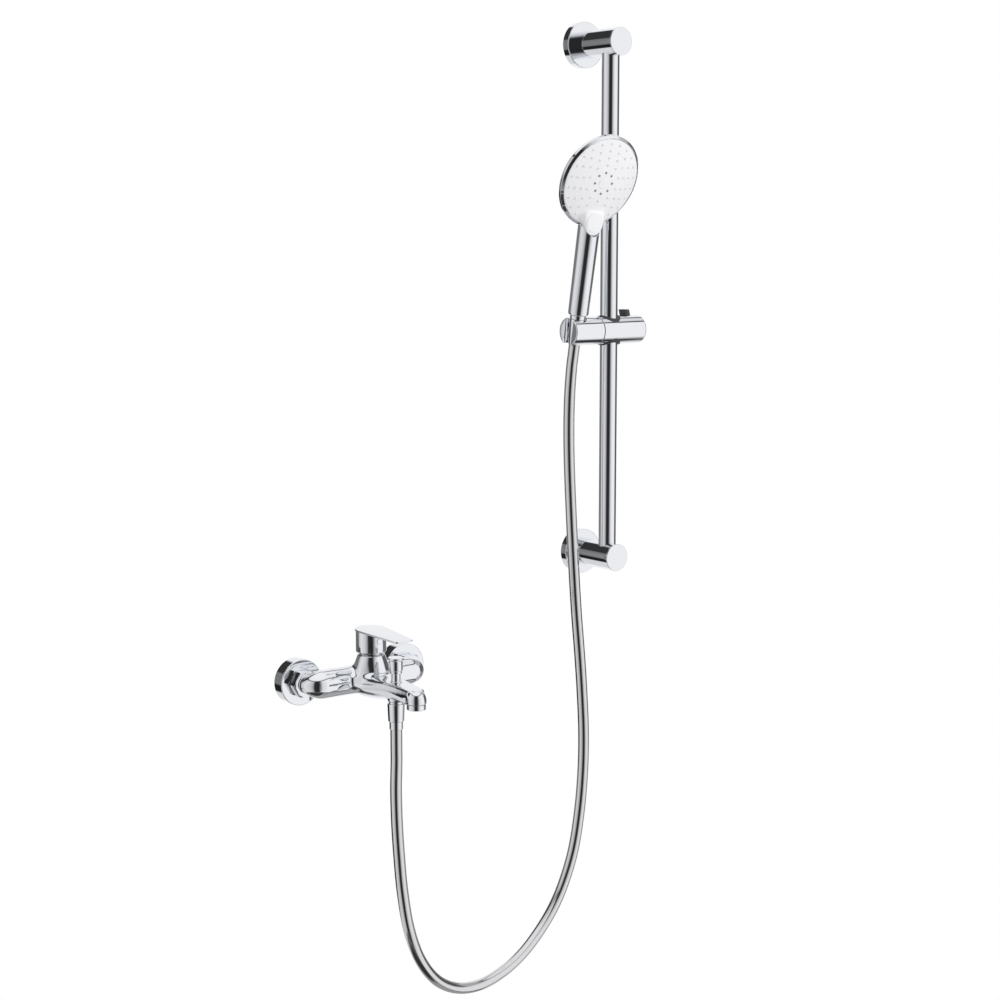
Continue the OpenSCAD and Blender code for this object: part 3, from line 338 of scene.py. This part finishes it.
def softened(piece, width_mm, angle=40, segments=3):
    """Breaks the sharp edges."""
    return modified(piece, "BEVEL", width=width_mm * MM, segments=segments, limit_method="ANGLE",
                    angle_limit=math.radians(angle))


def joined(first, *others):
    """Makes pieces one, under the first one's name."""
    alone(first)
    for other in others:
        other.select_set(True)
    bpy.ops.object.join()
    return first


def melted(piece, voxel_mm, iterations):
    """Melts joined pieces into one skin, and smooths its steps away."""
    modified(piece, "REMESH", mode="VOXEL", voxel_size=voxel_mm * MM)
    return modified(piece, "SMOOTH", factor=SMOOTHING, iterations=iterations)


def within(value, none, full):
    """Share from 0 to 1 as a value goes from one end to the other."""
    return min(max((value - none) / (full - none), 0), 1)


def polished(piece, iterations, share_of):
    """Smooths a piece by the share that holds at each place, given in millimetres."""
    group = piece.vertex_groups.new(name="polish")
    for point in piece.data.vertices:
        group.add([point.index], share_of(point.co / MM), "REPLACE")
    modified(piece, "SMOOTH", factor=SMOOTHING, iterations=iterations, vertex_group="polish")
    piece.vertex_groups.clear()
    return piece


def dressed(piece, *nodes, slot=None, angle=35):
    """Gives a piece its finish, in place of its CAD nodes."""
    slot = slot or SLOT_OF[nodes[0]]
    alone(piece)
    bpy.ops.object.shade_smooth_by_angle(angle=math.radians(angle))
    piece.data.materials.clear()
    piece.data.materials.append(BY_SLOT[slot])
    if nodes:
        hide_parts(*nodes)
    return piece


def done(piece, body, *nodes, slot=None, angle=35):
    """Gives a piece its finish and its body."""
    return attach(dressed(piece, *nodes, slot=slot, angle=angle), body)


def sprung(node, name):
    """A spring's own coil, copied from its CAD node and given its finish, with its place left in its mesh."""
    coil = dressed(copied(node, name), node, angle=60)
    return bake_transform(coil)


# Hose: one line from the ferrule under the spout to the conical nut

HOSE_D = 14.4
# How far the ferrule and the nut reach, and the length of each of the two straight steps that leave them
FERRULE_END = -49.8
NUT_END = 17.4
STRAIGHT = 14
ROUTE = [
    (0, -106.5, -90), (-1, -106.5, -125), (0, -106.5, -165), (3, -106, -205),
    (8, -105, -250), (18, -103.5, -300), (36, -100.5, -344), (64, -96, -379),
    (100, -90, -400), (140, -84, -407), (180, -77, -402), (216, -71.5, -388),
    (248, -66, -367), (275, -62, -341), (296, -58.5, -311), (314, -55.5, -271),
    (326, -53, -221), (332, -52, -170), (333, -52, -120), (330, -52.5, -70),
    (325, -53, -15), (320, -51.5, 45), (316, -50, 110), (313, -48, 180),
    (311, -46.5, 240), (310.5, -46, 290), (310.5, -47.5, 330),
]
STEPS_BETWEEN_KNOTS = 8
# Heights on the rising side where one stretch ends and the next begins
CUT_HEIGHTS = (10, 190, 372)


def between(a, b, c, d, t):
    """A point on the smooth line from b to c, whose neighbours are a and d."""
    return 0.5 * (2 * b + (c - a) * t + (2 * a - 5 * b + 4 * c - d) * t * t
                  + (3 * b - a - 3 * c + d) * t * t * t)


def hose_line():
    """The hose's middle line in metres: straight out of both ends, then smoothly through the route."""
    down = Vector((0, 0, -1))
    lean = Vector((0, math.sin(math.radians(SEAT_LEAN)), -math.cos(math.radians(SEAT_LEAN))))
    low = Vector((0, DIVERTER_Y, FERRULE_END))
    high = Vector((SEAT_X, BAR_Y, SLIDER_Z)) + lean * NUT_END
    knots = ([low, low + down * STRAIGHT, low + down * 2 * STRAIGHT] + [Vector(p) for p in ROUTE]
             + [high + lean * 2 * STRAIGHT, high + lean * STRAIGHT, high])
    line = []
    for i in range(len(knots) - 1):
        before, after = knots[max(i - 1, 0)], knots[min(i + 2, len(knots) - 1)]
        for k in range(STEPS_BETWEEN_KNOTS):
            line.append(between(before, knots[i], knots[i + 1], after, k / STEPS_BETWEEN_KNOTS))
    line.append(knots[-1])
    return [p * MM for p in line]


def hose_stretch(name, line):
    """A round tube along part of the line."""
    curve = bpy.data.curves.new(name, "CURVE")
    curve.dimensions = "3D"
    curve.bevel_depth = HOSE_D / 2 * MM
    curve.bevel_resolution = 10
    spline = curve.splines.new("POLY")
    spline.points.add(len(line) - 1)
    for point, place in zip(spline.points, line):
        point.co = (*place, 1)
    piece = bpy.data.objects.new(name, curve)
    bpy.context.scene.collection.objects.link(piece)
    alone(piece)
    bpy.ops.object.convert(target="MESH")
    return dressed(bpy.context.object, "shower_hose", angle=60)


# The hose crosses four joints one after another, so it is drawn in four stretches that meet end to end
line = hose_line()
lowest = min(range(len(line)), key=lambda i: line[i].z)
cuts = [next(i for i in range(lowest, len(line)) if line[i].z > z * MM) for z in CUT_HEIGHTS]
loop_line, riser_line = line[:cuts[0] + 1], line[cuts[0]:cuts[1] + 1]
bend_line, end_line = line[cuts[1]:cuts[2] + 1], line[cuts[2]:]
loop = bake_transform(hose_stretch("hose_loop", loop_line))
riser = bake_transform(hose_stretch("hose_riser", riser_line))
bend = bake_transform(hose_stretch("hose_bend", bend_line))
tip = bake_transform(hose_stretch("hose_end", end_line))


# Mixer body: the casting with its bores filled, melted into one skin and polished smooth

# Each bore is (radius, start, end)
BORES = [
    (14.35, (0, COLUMN_Y, 6), (0, COLUMN_Y, 31.9)),
    (4.7, (-71, -48, 0), (71, -48, 0)), (3.2, (-26, -52, 0), (26, -52, 0)),
    (2.7, (-7, COLUMN_Y, 0), (-7, COLUMN_Y, 10)), (2.7, (7, COLUMN_Y, 0), (7, COLUMN_Y, 10)),
    (5.2, (0, -58, -3.5), (0, -146, -3.5)), (3.2, (0, -61, -4), (0, -61, 12)),
    (7.7, (0, DIVERTER_Y, -14), (0, DIVERTER_Y, 6)), (8.6, (0, DIVERTER_Y, -16.2), (0, DIVERTER_Y, -6)),
    (10.6, (0, OUTLET_Y, -11), (0, OUTLET_Y, -5)), (7.2, (0, OUTLET_Y, -10), (0, OUTLET_Y, -1)),
    (5.2, (-72, -25.5, 0), (-72, -50, 0)), (5.2, (72, -25.5, 0), (72, -50, 0)),
]
casting = copied("mixer_body", "mixer_casting")
fillings = [rod("fill", *bore) for bore in BORES]
# The spout's shoulders fall away from a narrow flat, and the foot of the column spreads out over them
for side in (-1, 1):
    near, far = sorted((side * -8, side * 45))
    slope = (shift(side * 12, OUTLET_Y, 4.7) @ turn(3.8, "X") @ turn(side * -4, "Z") @ turn(side * 50, "Y"))
    carved(casting, block("shoulder", (near, 8, 0), (far, 86, 40), slope))
foot = turned("foot", [(r, z, 0) for r, z in (
    (0, 31.9), (16.2, 31.9), (17.5, 27), (19, 22), (20.9, 17), (22.6, 12), (24, 7), (25, 2), (25.3, -2),
    (20, -14), (0, -21))], AT_COLUMN)
skirt = turned("skirt", [(r, z, 0) for r, z in (
    (0, 24), (18.6, 23.5), (20.8, 18), (23.6, 13), (26.4, 8.5), (28.7, 4), (29.4, 0), (28.3, -3), (25.6, -8),
    (20, -14), (10, -19.5), (0, -21))], AT_COLUMN @ Matrix.Diagonal((1, 0.9, 1, 1)))
joined(casting, foot, skirt, *fillings)
melted(casting, 0.8, 14)


def round_column(p):
    """Share of polish where the foot of the column flows into the barrel and the spout."""
    return (within(p.z, 27, 17) * within(p.z, -22, -14)
            * within(math.hypot(p.x, p.y - COLUMN_Y), 50, 34))


def elbows_and_shoulders(p):
    """Share of polish on the barrel's elbows and along the spout's shoulders, below the column's neck."""
    elbow = within(abs(p.x), 50, 60) * within(p.y, -30, -36)
    shoulder = within(p.y, -60, -72) * within(p.y, -138, -126) * within(p.z, -10, -3)
    return within(p.z, 27, 20) * max(elbow, shoulder)


polished(casting, 170, round_column)
polished(casting, 40, elbows_and_shoulders)
done(casting, "fixed", "mixer_body", angle=180)


# Wall covers and hexagon nuts

for side, word in ((-1, "left"), (1, "right")):
    x = side * INLET_X
    cover = turned("cover_" + word, [(0, 15.1, 0), (26.4, 15.1, 0.6), (26.4, 0, 0), (27.8, 0, 0),
                                     (27.8, 16.5, 0.9), (0, 16.5, 0)], off_wall(x, 0))
    carved(cover, rod("hole", 13.5, (x, 5, 0), (x, -30, 0)))
    done(cover, "fixed", "escutcheon_" + word)

    alone()
    bpy.ops.mesh.primitive_cylinder_add(vertices=6, radius=17.32 * MM, depth=12.2 * MM,
                                        location=(0, 0, 23.6 * MM), rotation=(0, 0, math.radians(30)))
    nut = bpy.context.object
    nut.name = "nut_" + word
    bpy.ops.object.transform_apply(location=True, rotation=True, scale=True)
    put(nut, off_wall(x, 0))
    crown = turned("crown", [(0, 17.5, 0), (15.6, 17.5, 0), (17.4, 18.9, 0), (17.4, 28.3, 0), (15.6, 29.7, 0),
                             (0, 29.7, 0)], off_wall(x, 0))
    carved(nut, crown, operation="INTERSECT")
    softened(nut, 0.25, 25, 2)
    done(nut, "fixed", "union_nut_" + word)


# Lever: the turned drum and the flat paddle, one casting

drum = turned("lever_casting", [(16, 34.2, 0), (16.7, 33.5, 0), (18.5, 35.9, 0.8), (18.5, 60.8, 0), (0, 60.8, 0),
                                (0, 45, 0), (16, 45, 0), (16, 34.2, 0)], AT_COLUMN)
paddle = hull("paddle", [(96, 19.5, 0, 0), (48, 5, -8, -67), (48, 5, 8, -67)], -1.1, 1.1)
softened(paddle, 0.55, 50, 4)
put(paddle, shift(0, COLUMN_Y, 61.5) @ turn(2.6, "X"))
carved(drum, paddle, operation="UNION")
done(drum, "lever_body", "lever")

plug = turned("index_plug", [(0, 16.5, 0), (3.75, 16.5, 0), (3.75, 19.1, 0.6), (0, 19.1, 0)],
              shift(0, COLUMN_Y, 49.5) @ turn(90, "X"), sides=48)
done(plug, "lever_body", "lever_plug", slot="chrome_plate")


# Diverter: neck, pull-up knob and spring

neck = turned("diverter_neck", [(3.05, 3.5, 0), (7, 3.5, 0), (7, 7.9, 0.3), (5.5, 7.9, 0.4), (5.5, 17.1, 0.4),
                                (3.05, 17.1, 0), (3.05, 3.5, 0)], AT_DIVERTER, sides=64)
done(neck, "fixed", "diverter_bush")
knob = turned("diverter_pull", [(0, 17.4, 0), (7.3, 17.4, 0.4), (7.3, 20.6, 0.3), (8.3, 21.2, 0.5), (8.3, 33, 0.8),
                                (9.6, 34, 0.8), (9.6, 36.4, 1), (0, 36.4, 0)], AT_DIVERTER, sides=80)
done(knob, "diverter", "diverter_knob")
sprung("diverter_spring", "diverter_coil")


# Outlets: aerator ring, hose nut and ferrule

aerator = turned("aerator_ring", [(9, -7.5, 0), (9, -17.2, 0.5), (9.4, -18, 0.2), (11.4, -18, 0.9),
                                  (11.4, -11.6, 0.2), (10.4, -11.4, 0), (10.4, -7.5, 0), (9, -7.5, 0)], AT_OUTLET)
done(aerator, "fixed", "aerator_housing")
nut = turned("hose_nut", [(7.3, -34, 0), (7.3, -40.2, 0.2), (9.55, -40.2, 0.6), (10.55, -18.6, 0.6),
                          (8.4, -18.6, 0.2), (8.4, -34, 0), (7.3, -34, 0)], AT_DIVERTER)
done(nut, "fixed", "hose_nut_lower")
ferrule = turned("hose_ferrule", [(4, -34, 0), (4, FERRULE_END, 0), (8.2, FERRULE_END, 0.5), (8.2, -40.5, 0.4),
                                  (7, -40.5, 0), (7, -34, 0), (4, -34, 0)], AT_DIVERTER, sides=64)
done(ferrule, "fixed", "hose_ferrule_lower")


# Rail: bar, posts, caps, wall flanges and screws

bar = turned("rail_tube", [(10.1, -4, 0), (11.3, -4, 0), (11.3, 658, 0), (10.1, 658, 0), (10.1, -4, 0)],
             shift(RAIL_X, BAR_Y, RAIL_LOW), sides=128)
done(bar, "fixed", "rail_bar")
for word, z in (("top", RAIL_HIGH), ("bottom", RAIL_LOW)):
    bracket = off_wall(RAIL_X, z)
    post = turned("post_" + word, [(10.05, 30.3, 0), (10.05, 10.6, 0), (17.5, 10.6, 0), (17.5, 78.3, 0.15),
                                   (0, 78.3, 0), (0, 30.3, 0), (10.05, 30.3, 0)], bracket, sides=128)
    done(post, "fixed", "rail_post_" + word)
    cap = turned("cap_" + word, [(0, 78.4, 0), (17.5, 78.4, 0.15), (17.5, 80, 0.5), (0, 80, 0)], bracket, sides=128)
    done(cap, "fixed", "post_cap_" + word)
    flange = turned("flange_" + word, [(10.05, 0, 0), (29, 0, 0), (29, 10.6, 0.9), (10.05, 10.6, 0), (10.05, 0, 0)],
                    bracket, sides=128)
    done(flange, "fixed", "rail_flange_" + word)

# The wall screws' threads end short of the part's own, so that their points stay behind the flanges
THREAD = [((1.9, 2.5)[k % 2], 0.8 * k - 22.4, 0) for k in range(28)]
SCREW = [(0, -25, 0), (0.5, -24.5, 0)] + THREAD + [(2.3, 0, 0), (2.3, 27, 0), (4.9, 29.8, 0), (0, 29.8, 0)]
screws = [turned("wall_screws", SCREW, off_wall(RAIL_X, z), sides=32) for z in (RAIL_LOW, RAIL_HIGH)]
joined(*screws)
done(screws[0], "fixed", "wall_screws")


# Slider with its lip, seam washer, button and spring, and the tilting holder

slider = turned("slider_barrel", [(0, 344.4, 0), (18, 344.4, 0.4), (18, 414, 2.4), (0, 414, 0)],
                ALONG_SLIDER, sides=128)
carved(slider, rod("hole", 13.6, (RAIL_X, BAR_Y, 380), (RAIL_X, BAR_Y, 436)))
pocket = turned("pocket", [(0, 13, 0), (6.9, 13, 0), (6.9, 33, 0), (0, 33, 0)], RELEASE, sides=64)
carved(slider, pocket)
done(slider, "slider", "slider_body")
lip = turned("slider_lip", [(13.65, 380, 0), (14.9, 380, 0), (14.9, 436, 0), (13.65, 436, 0), (13.65, 380, 0)],
             shift(RAIL_X, BAR_Y, 0))
carved(lip, rod("barrel", 18.9, (340, BAR_Y, SLIDER_Z), (390, BAR_Y, SLIDER_Z)), operation="INTERSECT")
softened(lip, 0.25, 40, 2)
done(lip, "slider", slot="plastic_dark")
washer = turned("seam_washer", [(4.1, 343.5, 0), (17.4, 343.5, 0), (17.4, 344.5, 0), (4.1, 344.5, 0),
                                (4.1, 343.5, 0)], ALONG_SLIDER, sides=128)
done(washer, "slider", slot="plastic_dark")

button = turned("release_button", [(0, 16.3, 0), (6.7, 16.3, 0), (6.7, 30, 0), (0, 30, 0)], RELEASE, sides=64)
carved(button, block("level", (380, -90, 433.4), (412, -30, 450), Matrix.Identity(4)))
softened(button, 0.4, 40)
stem = turned("stem", [(0, 3.3, 0), (3, 3.3, 0), (3, 16.6, 0), (0, 16.6, 0)], RELEASE, sides=32)
carved(button, stem, operation="UNION")
done(button, "release", "slider_button")
sprung("button_spring", "button_coil")

holder = turned("holder_barrel", [(0, 297.7, 0), (18, 297.7, 1.2), (18, 343.4, 0.4), (0, 343.4, 0)],
                ALONG_SLIDER, sides=128)
seat = turned("seat", [(0, -24, 0), (5.74, -24, 0), (12.88, 24, 0), (0, 24, 0)], SEAT)
mouth = block("mouth", (-66, -7.8, -24), (0, 7.8, 24), SEAT)
pin_hole = rod("pin_hole", 4.05, (331.5, BAR_Y, SLIDER_Z), (350, BAR_Y, SLIDER_Z))
carved(holder, seat, mouth, pin_hole)
softened(holder, 0.3, 50, 2)
done(holder, "holder_body", "holder")


# Hand shower

cone = turned("cone_nut", [(4, 2.2, 0), (4, -NUT_END, 0.2), (7.8, -NUT_END, 0.5), (10.3, 16.2, 0.5),
                           (7.85, 16.2, 0.2), (7.85, 2.2, 0), (4, 2.2, 0)], SEAT)
done(cone, "hand_shower", "hose_nut_upper")
collar = turned("neck_collar", [(7.8, 5, 0), (7.8, 16.5, 0.1), (10.2, 16.5, 0.3), (10.2, 21.8, 0), (4, 21.8, 0),
                                (4, 5, 0), (7.8, 5, 0)], SEAT)
done(collar, "hand_shower", "handset_nipple")

rim = turned("head_rim", [(55.6, -7.5, 0), (58.2, -7.5, 0.6), (59.5, -6, 0.8), (59.5, -2.4, 0.7), (56.5, 0.5, 0.3),
                          (55.6, 0, 0), (55.6, -7.5, 0)], FACE, sides=160)


def tongue(name, grow, low, high):
    """The tongue of the face that covers the end of the handle: broad at the head, round below the button."""
    discs = [(96, 13.5 + grow, 0, -3.6), (48, 7 + grow, -10.5, 6), (48, 7 + grow, 10.5, 6)]
    return put(hull(name, discs, low, high), MODE)


HEAD_R = 59.0
back = [(HEAD_R * math.sin(math.radians(a)), -5.5 - 15.5 * math.cos(math.radians(a)), 0) for a in range(5, 91, 5)]
shell = turned("handset_casting", [(0, -21, 0)] + back + [(HEAD_R, -3, 0), (0, -3, 0)], FACE, sides=128)
handle = turned("handle", [(0, 21.4, 0), (13.3, 21.4, 1.2), (14.2, 140.5, 0), (13.6, 148, 0), (0, 156, 0)], SEAT)
alone()
bpy.ops.mesh.primitive_uv_sphere_add(segments=48, ring_count=24, radius=10.8 * MM)
throat = bpy.context.object
throat.name = "throat"
throat.scale = (1.9, 0.8, 1.5)
bpy.ops.object.transform_apply(location=True, rotation=True, scale=True)
put(throat, SEAT @ shift(0, 3, 152))
joined(shell, handle, throat)
melted(shell, 0.9, 16)
carved(shell, tongue("tongue_room", 0.2, 1.2, 40))
done(shell, "hand_shower", "handset_shell", angle=60)
done(rim, "hand_shower", slot="chrome_plate")

# The white face is part of a ball, as high in its middle as this
FACE_R = 56.2
DOME_H = 5.4
DOME_R = (FACE_R ** 2 + DOME_H ** 2) / (2 * DOME_H)
DOME_STEPS = 24


def dome_height(r):
    return math.sqrt(DOME_R ** 2 - r ** 2) - DOME_R + DOME_H


dome = [(r, dome_height(r), 0) for r in [FACE_R * (DOME_STEPS - k) / DOME_STEPS for k in range(DOME_STEPS + 1)]]
face = turned("face_dome", [(0, -2.4, 0), (FACE_R, -2.4, 0)] + dome, FACE, sides=160)
joined(face, tongue("tongue", 0, 1.5, 10.4))
melted(face, 0.7, 24)
TO_FACE = FACE.inverted()


def swelling(p):
    """Share of polish where the face swells up to the tongue: none at its lower end and at the head's rim."""
    here = TO_FACE @ (p * MM) / MM
    return (within(here.y, -56, -46) * within(math.hypot(here.x, here.y + 46), 32, 22)
            * max(within(abs(here.x), 19, 14), within(math.hypot(here.x, here.y), 54, 47)))


polished(face, 220, swelling)
done(face, "hand_shower", "face_plate", angle=180)
boss = turned("face_boss", [(0, 4.6, 0), (6.6, 4.6, 0), (6.6, 5.62, 0.12), (0, 5.75, 0)], FACE)
done(boss, "hand_shower", slot="plastic_white")

push = turned("mode_push", [(0, 8.3, 0), (12.3, 8.3, 0), (12.3, 10.7, 0.5), (0, 11.1, 0)], MODE)
done(push, "mode", "mode_button")

# Rings of nozzles, each (how many, radius), with none where the tongue swells
NOZZLE_RINGS = ((10, 23.6), (14, 32.3), (18, 41), (22, 49.6))
TONGUE_Y, TONGUE_KEEP = -51, 21
nozzles = []
for count, r in NOZZLE_RINGS:
    for k in range(count):
        a = math.radians(90 + 360 * k / count)
        x, y = r * math.cos(a), r * math.sin(a)
        if math.hypot(x, y - TONGUE_Y) >= TONGUE_KEEP:
            nozzles.append(FACE @ shift(x, y, dome_height(r)))
first = turned("nozzle_tips", [(0, -2, 0), (1.75, -2, 0), (1.6, 0.7, 0.6), (0.5, 0.7, 0), (0.4, 0.2, 0),
                               (0, 0.2, 0)], Matrix.Identity(4), sides=20)
others = []
for nozzle in nozzles[1:]:
    other = first.copy()
    other.data = first.data.copy()
    bpy.context.scene.collection.objects.link(other)
    others.append(put(other, nozzle))
put(first, nozzles[0])
joined(first, *others)
done(first, "hand_shower", "nozzle_mat")

JETS = 8
JET_RING = 13.6
jets = []
for k in range(JETS):
    a = math.radians(90 + 360 * k / JETS)
    jet = FACE @ shift(JET_RING * math.cos(a), JET_RING * math.sin(a), dome_height(JET_RING))
    jets.append(turned("jets", [(0, -3, 0), (1.45, -3, 0), (1.45, 0.3, 0.2), (0.7, 0.3, 0), (0.6, -0.5, 0),
                                (0, -0.5, 0)], jet, sides=20))
joined(*jets)
done(jets[0], "hand_shower", "jet_insert")


# Studio: what the metal mirrors, by azimuth from the direction of the camera and by height

bpy.context.scene.world = bpy.data.worlds.new("studio")
bpy.context.scene.world.use_nodes = True
tree = bpy.context.scene.world.node_tree
sky = tree.nodes["Background"]
view_dir = add(tree, "ShaderNodeTexCoord").outputs["Generated"]
turned_dir = add(tree, "ShaderNodeVectorRotate", {"rotation_type": "Z_AXIS"}, Vector=view_dir,
                 Angle=math.radians(90 - VIEW_TURN))
axes = add(tree, "ShaderNodeSeparateXYZ", None, Vector=turned_dir.outputs["Vector"])
angle = add(tree, "ShaderNodeMath", {"operation": "ARCTAN2"}, __0=axes.outputs["Y"], __1=axes.outputs["X"])
azimuth = add(tree, "ShaderNodeMapRange", None, Value=angle.outputs["Value"], From_Min=-math.pi, From_Max=math.pi)
height = add(tree, "ShaderNodeMapRange", None, Value=axes.outputs["Z"], From_Min=-1.0, From_Max=1.0)


def ramp(along, stops):
    """Grey levels, a touch cool, along a value from 0 to 1: each stop is (place, level)."""
    made = add(tree, "ShaderNodeValToRGB")
    while len(made.color_ramp.elements) > 1:
        made.color_ramp.elements.remove(made.color_ramp.elements[-1])
    for i, (at, level) in enumerate(stops):
        stop = made.color_ramp.elements[0] if i == 0 else made.color_ramp.elements.new(at)
        stop.position = at
        stop.color = (level, level, level * 1.01, 1)
    tree.links.new(along.outputs["Result"], made.inputs["Fac"])
    return made.outputs["Color"]


def by_azimuth(stops):
    """Levels round the studio: each stop is (degrees, level)."""
    return ramp(azimuth, [((degrees + 180) / 360, level) for degrees, level in stops])


def by_height(stops):
    """Levels from below to above: each stop is (degrees, level)."""
    return ramp(height, [((math.sin(math.radians(degrees)) + 1) / 2, level) for degrees, level in stops])


def mixed(share_of, low, high):
    return add(tree, "ShaderNodeMix", {"data_type": "RGBA"}, __0=share_of, __6=low, __7=high).outputs[2]


def ring(left, right):
    """The studio at one height: dark behind the camera, bright boxes on both sides, flags beyond them."""
    return by_azimuth([(-180, 0.95), (-160, 0.95), (-152, left), (-103, left), (-96, 0.62), (-75, 0.84),
                       (-43, 0.66), (-28, 0.42), (-16, 0.03), (15, 0.02), (24, 0.25), (36, 0.68), (60, 0.97),
                       (98, 0.97), (106, right), (152, right), (160, 0.95), (180, 0.95)])


room = ring(0.2, 0.1)
room = mixed(by_height([(-31, 0), (-28, 1), (-15, 1), (-11, 0)]), room, ring(0.015, 0.3))
room = mixed(by_height([(-31, 1), (-28, 0)]), room, ring(0.75, 0.5))
room = mixed(by_height([(16, 0), (20, 1)]), room, ring(0.035, 0.5))
# Overhead and underfoot, each with a thin dark line round it
below = by_azimuth([(-180, 0.4), (-120, 0.4), (-100, 0.04), (50, 0.04), (75, 0.4), (180, 0.4)])
caps = by_height([(-53, 0.4), (-51, 0.04), (-48.5, 0.04), (-47, 0.5), (41, 0.5), (42.5, 0.04), (45.5, 0.04),
                  (47.5, 0.75), (54, 0.95), (90, 1.0)])
caps = mixed(by_height([(-55, 1), (-52, 0)]), caps, below)
room = mixed(by_height([(-49, 1), (-46.5, 0), (41, 0), (43, 1)]), room, caps)
# Only mirrored rays see the studio: other light is an even grey, and the camera sees white
EVEN_LIGHT = (0.6, 0.6, 0.61, 1)
WHITE = (1, 1, 1, 1)
rays = add(tree, "ShaderNodeLightPath")
lit = mixed(rays.outputs["Is Glossy Ray"], EVEN_LIGHT, room)
shown = mixed(rays.outputs["Is Camera Ray"], lit, WHITE)
tree.links.new(shown, sky.inputs["Color"])
sky.inputs["Strength"].default_value = 1.0


def lamp(name, place, aim, size, watts):
    """A soft box, in metres, that lights the plastics; the metal shows the studio round it instead."""
    light = bpy.data.lights.new(name, "AREA")
    light.shape = "RECTANGLE"
    light.size, light.size_y = size
    light.energy = watts
    made = bpy.data.objects.new(name, light)
    made.location = place
    made.rotation_euler = (Vector(aim) - Vector(place)).to_track_quat("-Z", "Y").to_euler()
    made.visible_glossy = False
    bpy.context.scene.collection.objects.link(made)


lamp("key_box", (2.3, -1.5, 1.2), (0.25, 0, 0.4), (1.4, 1.4), 34)
lamp("fill_box", (-1.2, -2.4, 1.3), (0.25, 0, 0.3), (1.6, 1.6), 14)

# Floor, in metres: pale to the light and white to the camera
alone()
bpy.ops.mesh.primitive_plane_add(size=12, location=(0, 2, -1.4))
floor = bpy.context.object
floor.name = "floor"
pale, tree, shader = plain("pale_studio_floor", "#F4F4F4", Roughness=0.9)
white = add(tree, "ShaderNodeEmission", None, Color=WHITE, Strength=1.0)
rays = add(tree, "ShaderNodeLightPath")
surface = add(tree, "ShaderNodeMixShader", None, __0=rays.outputs["Is Camera Ray"], __1=shader.outputs["BSDF"],
              __2=white.outputs["Emission"])
tree.links.new(surface.outputs["Shader"], tree.nodes["Material Output"].inputs["Surface"])
floor.data.materials.append(pale)
floor.visible_glossy = False

alone()
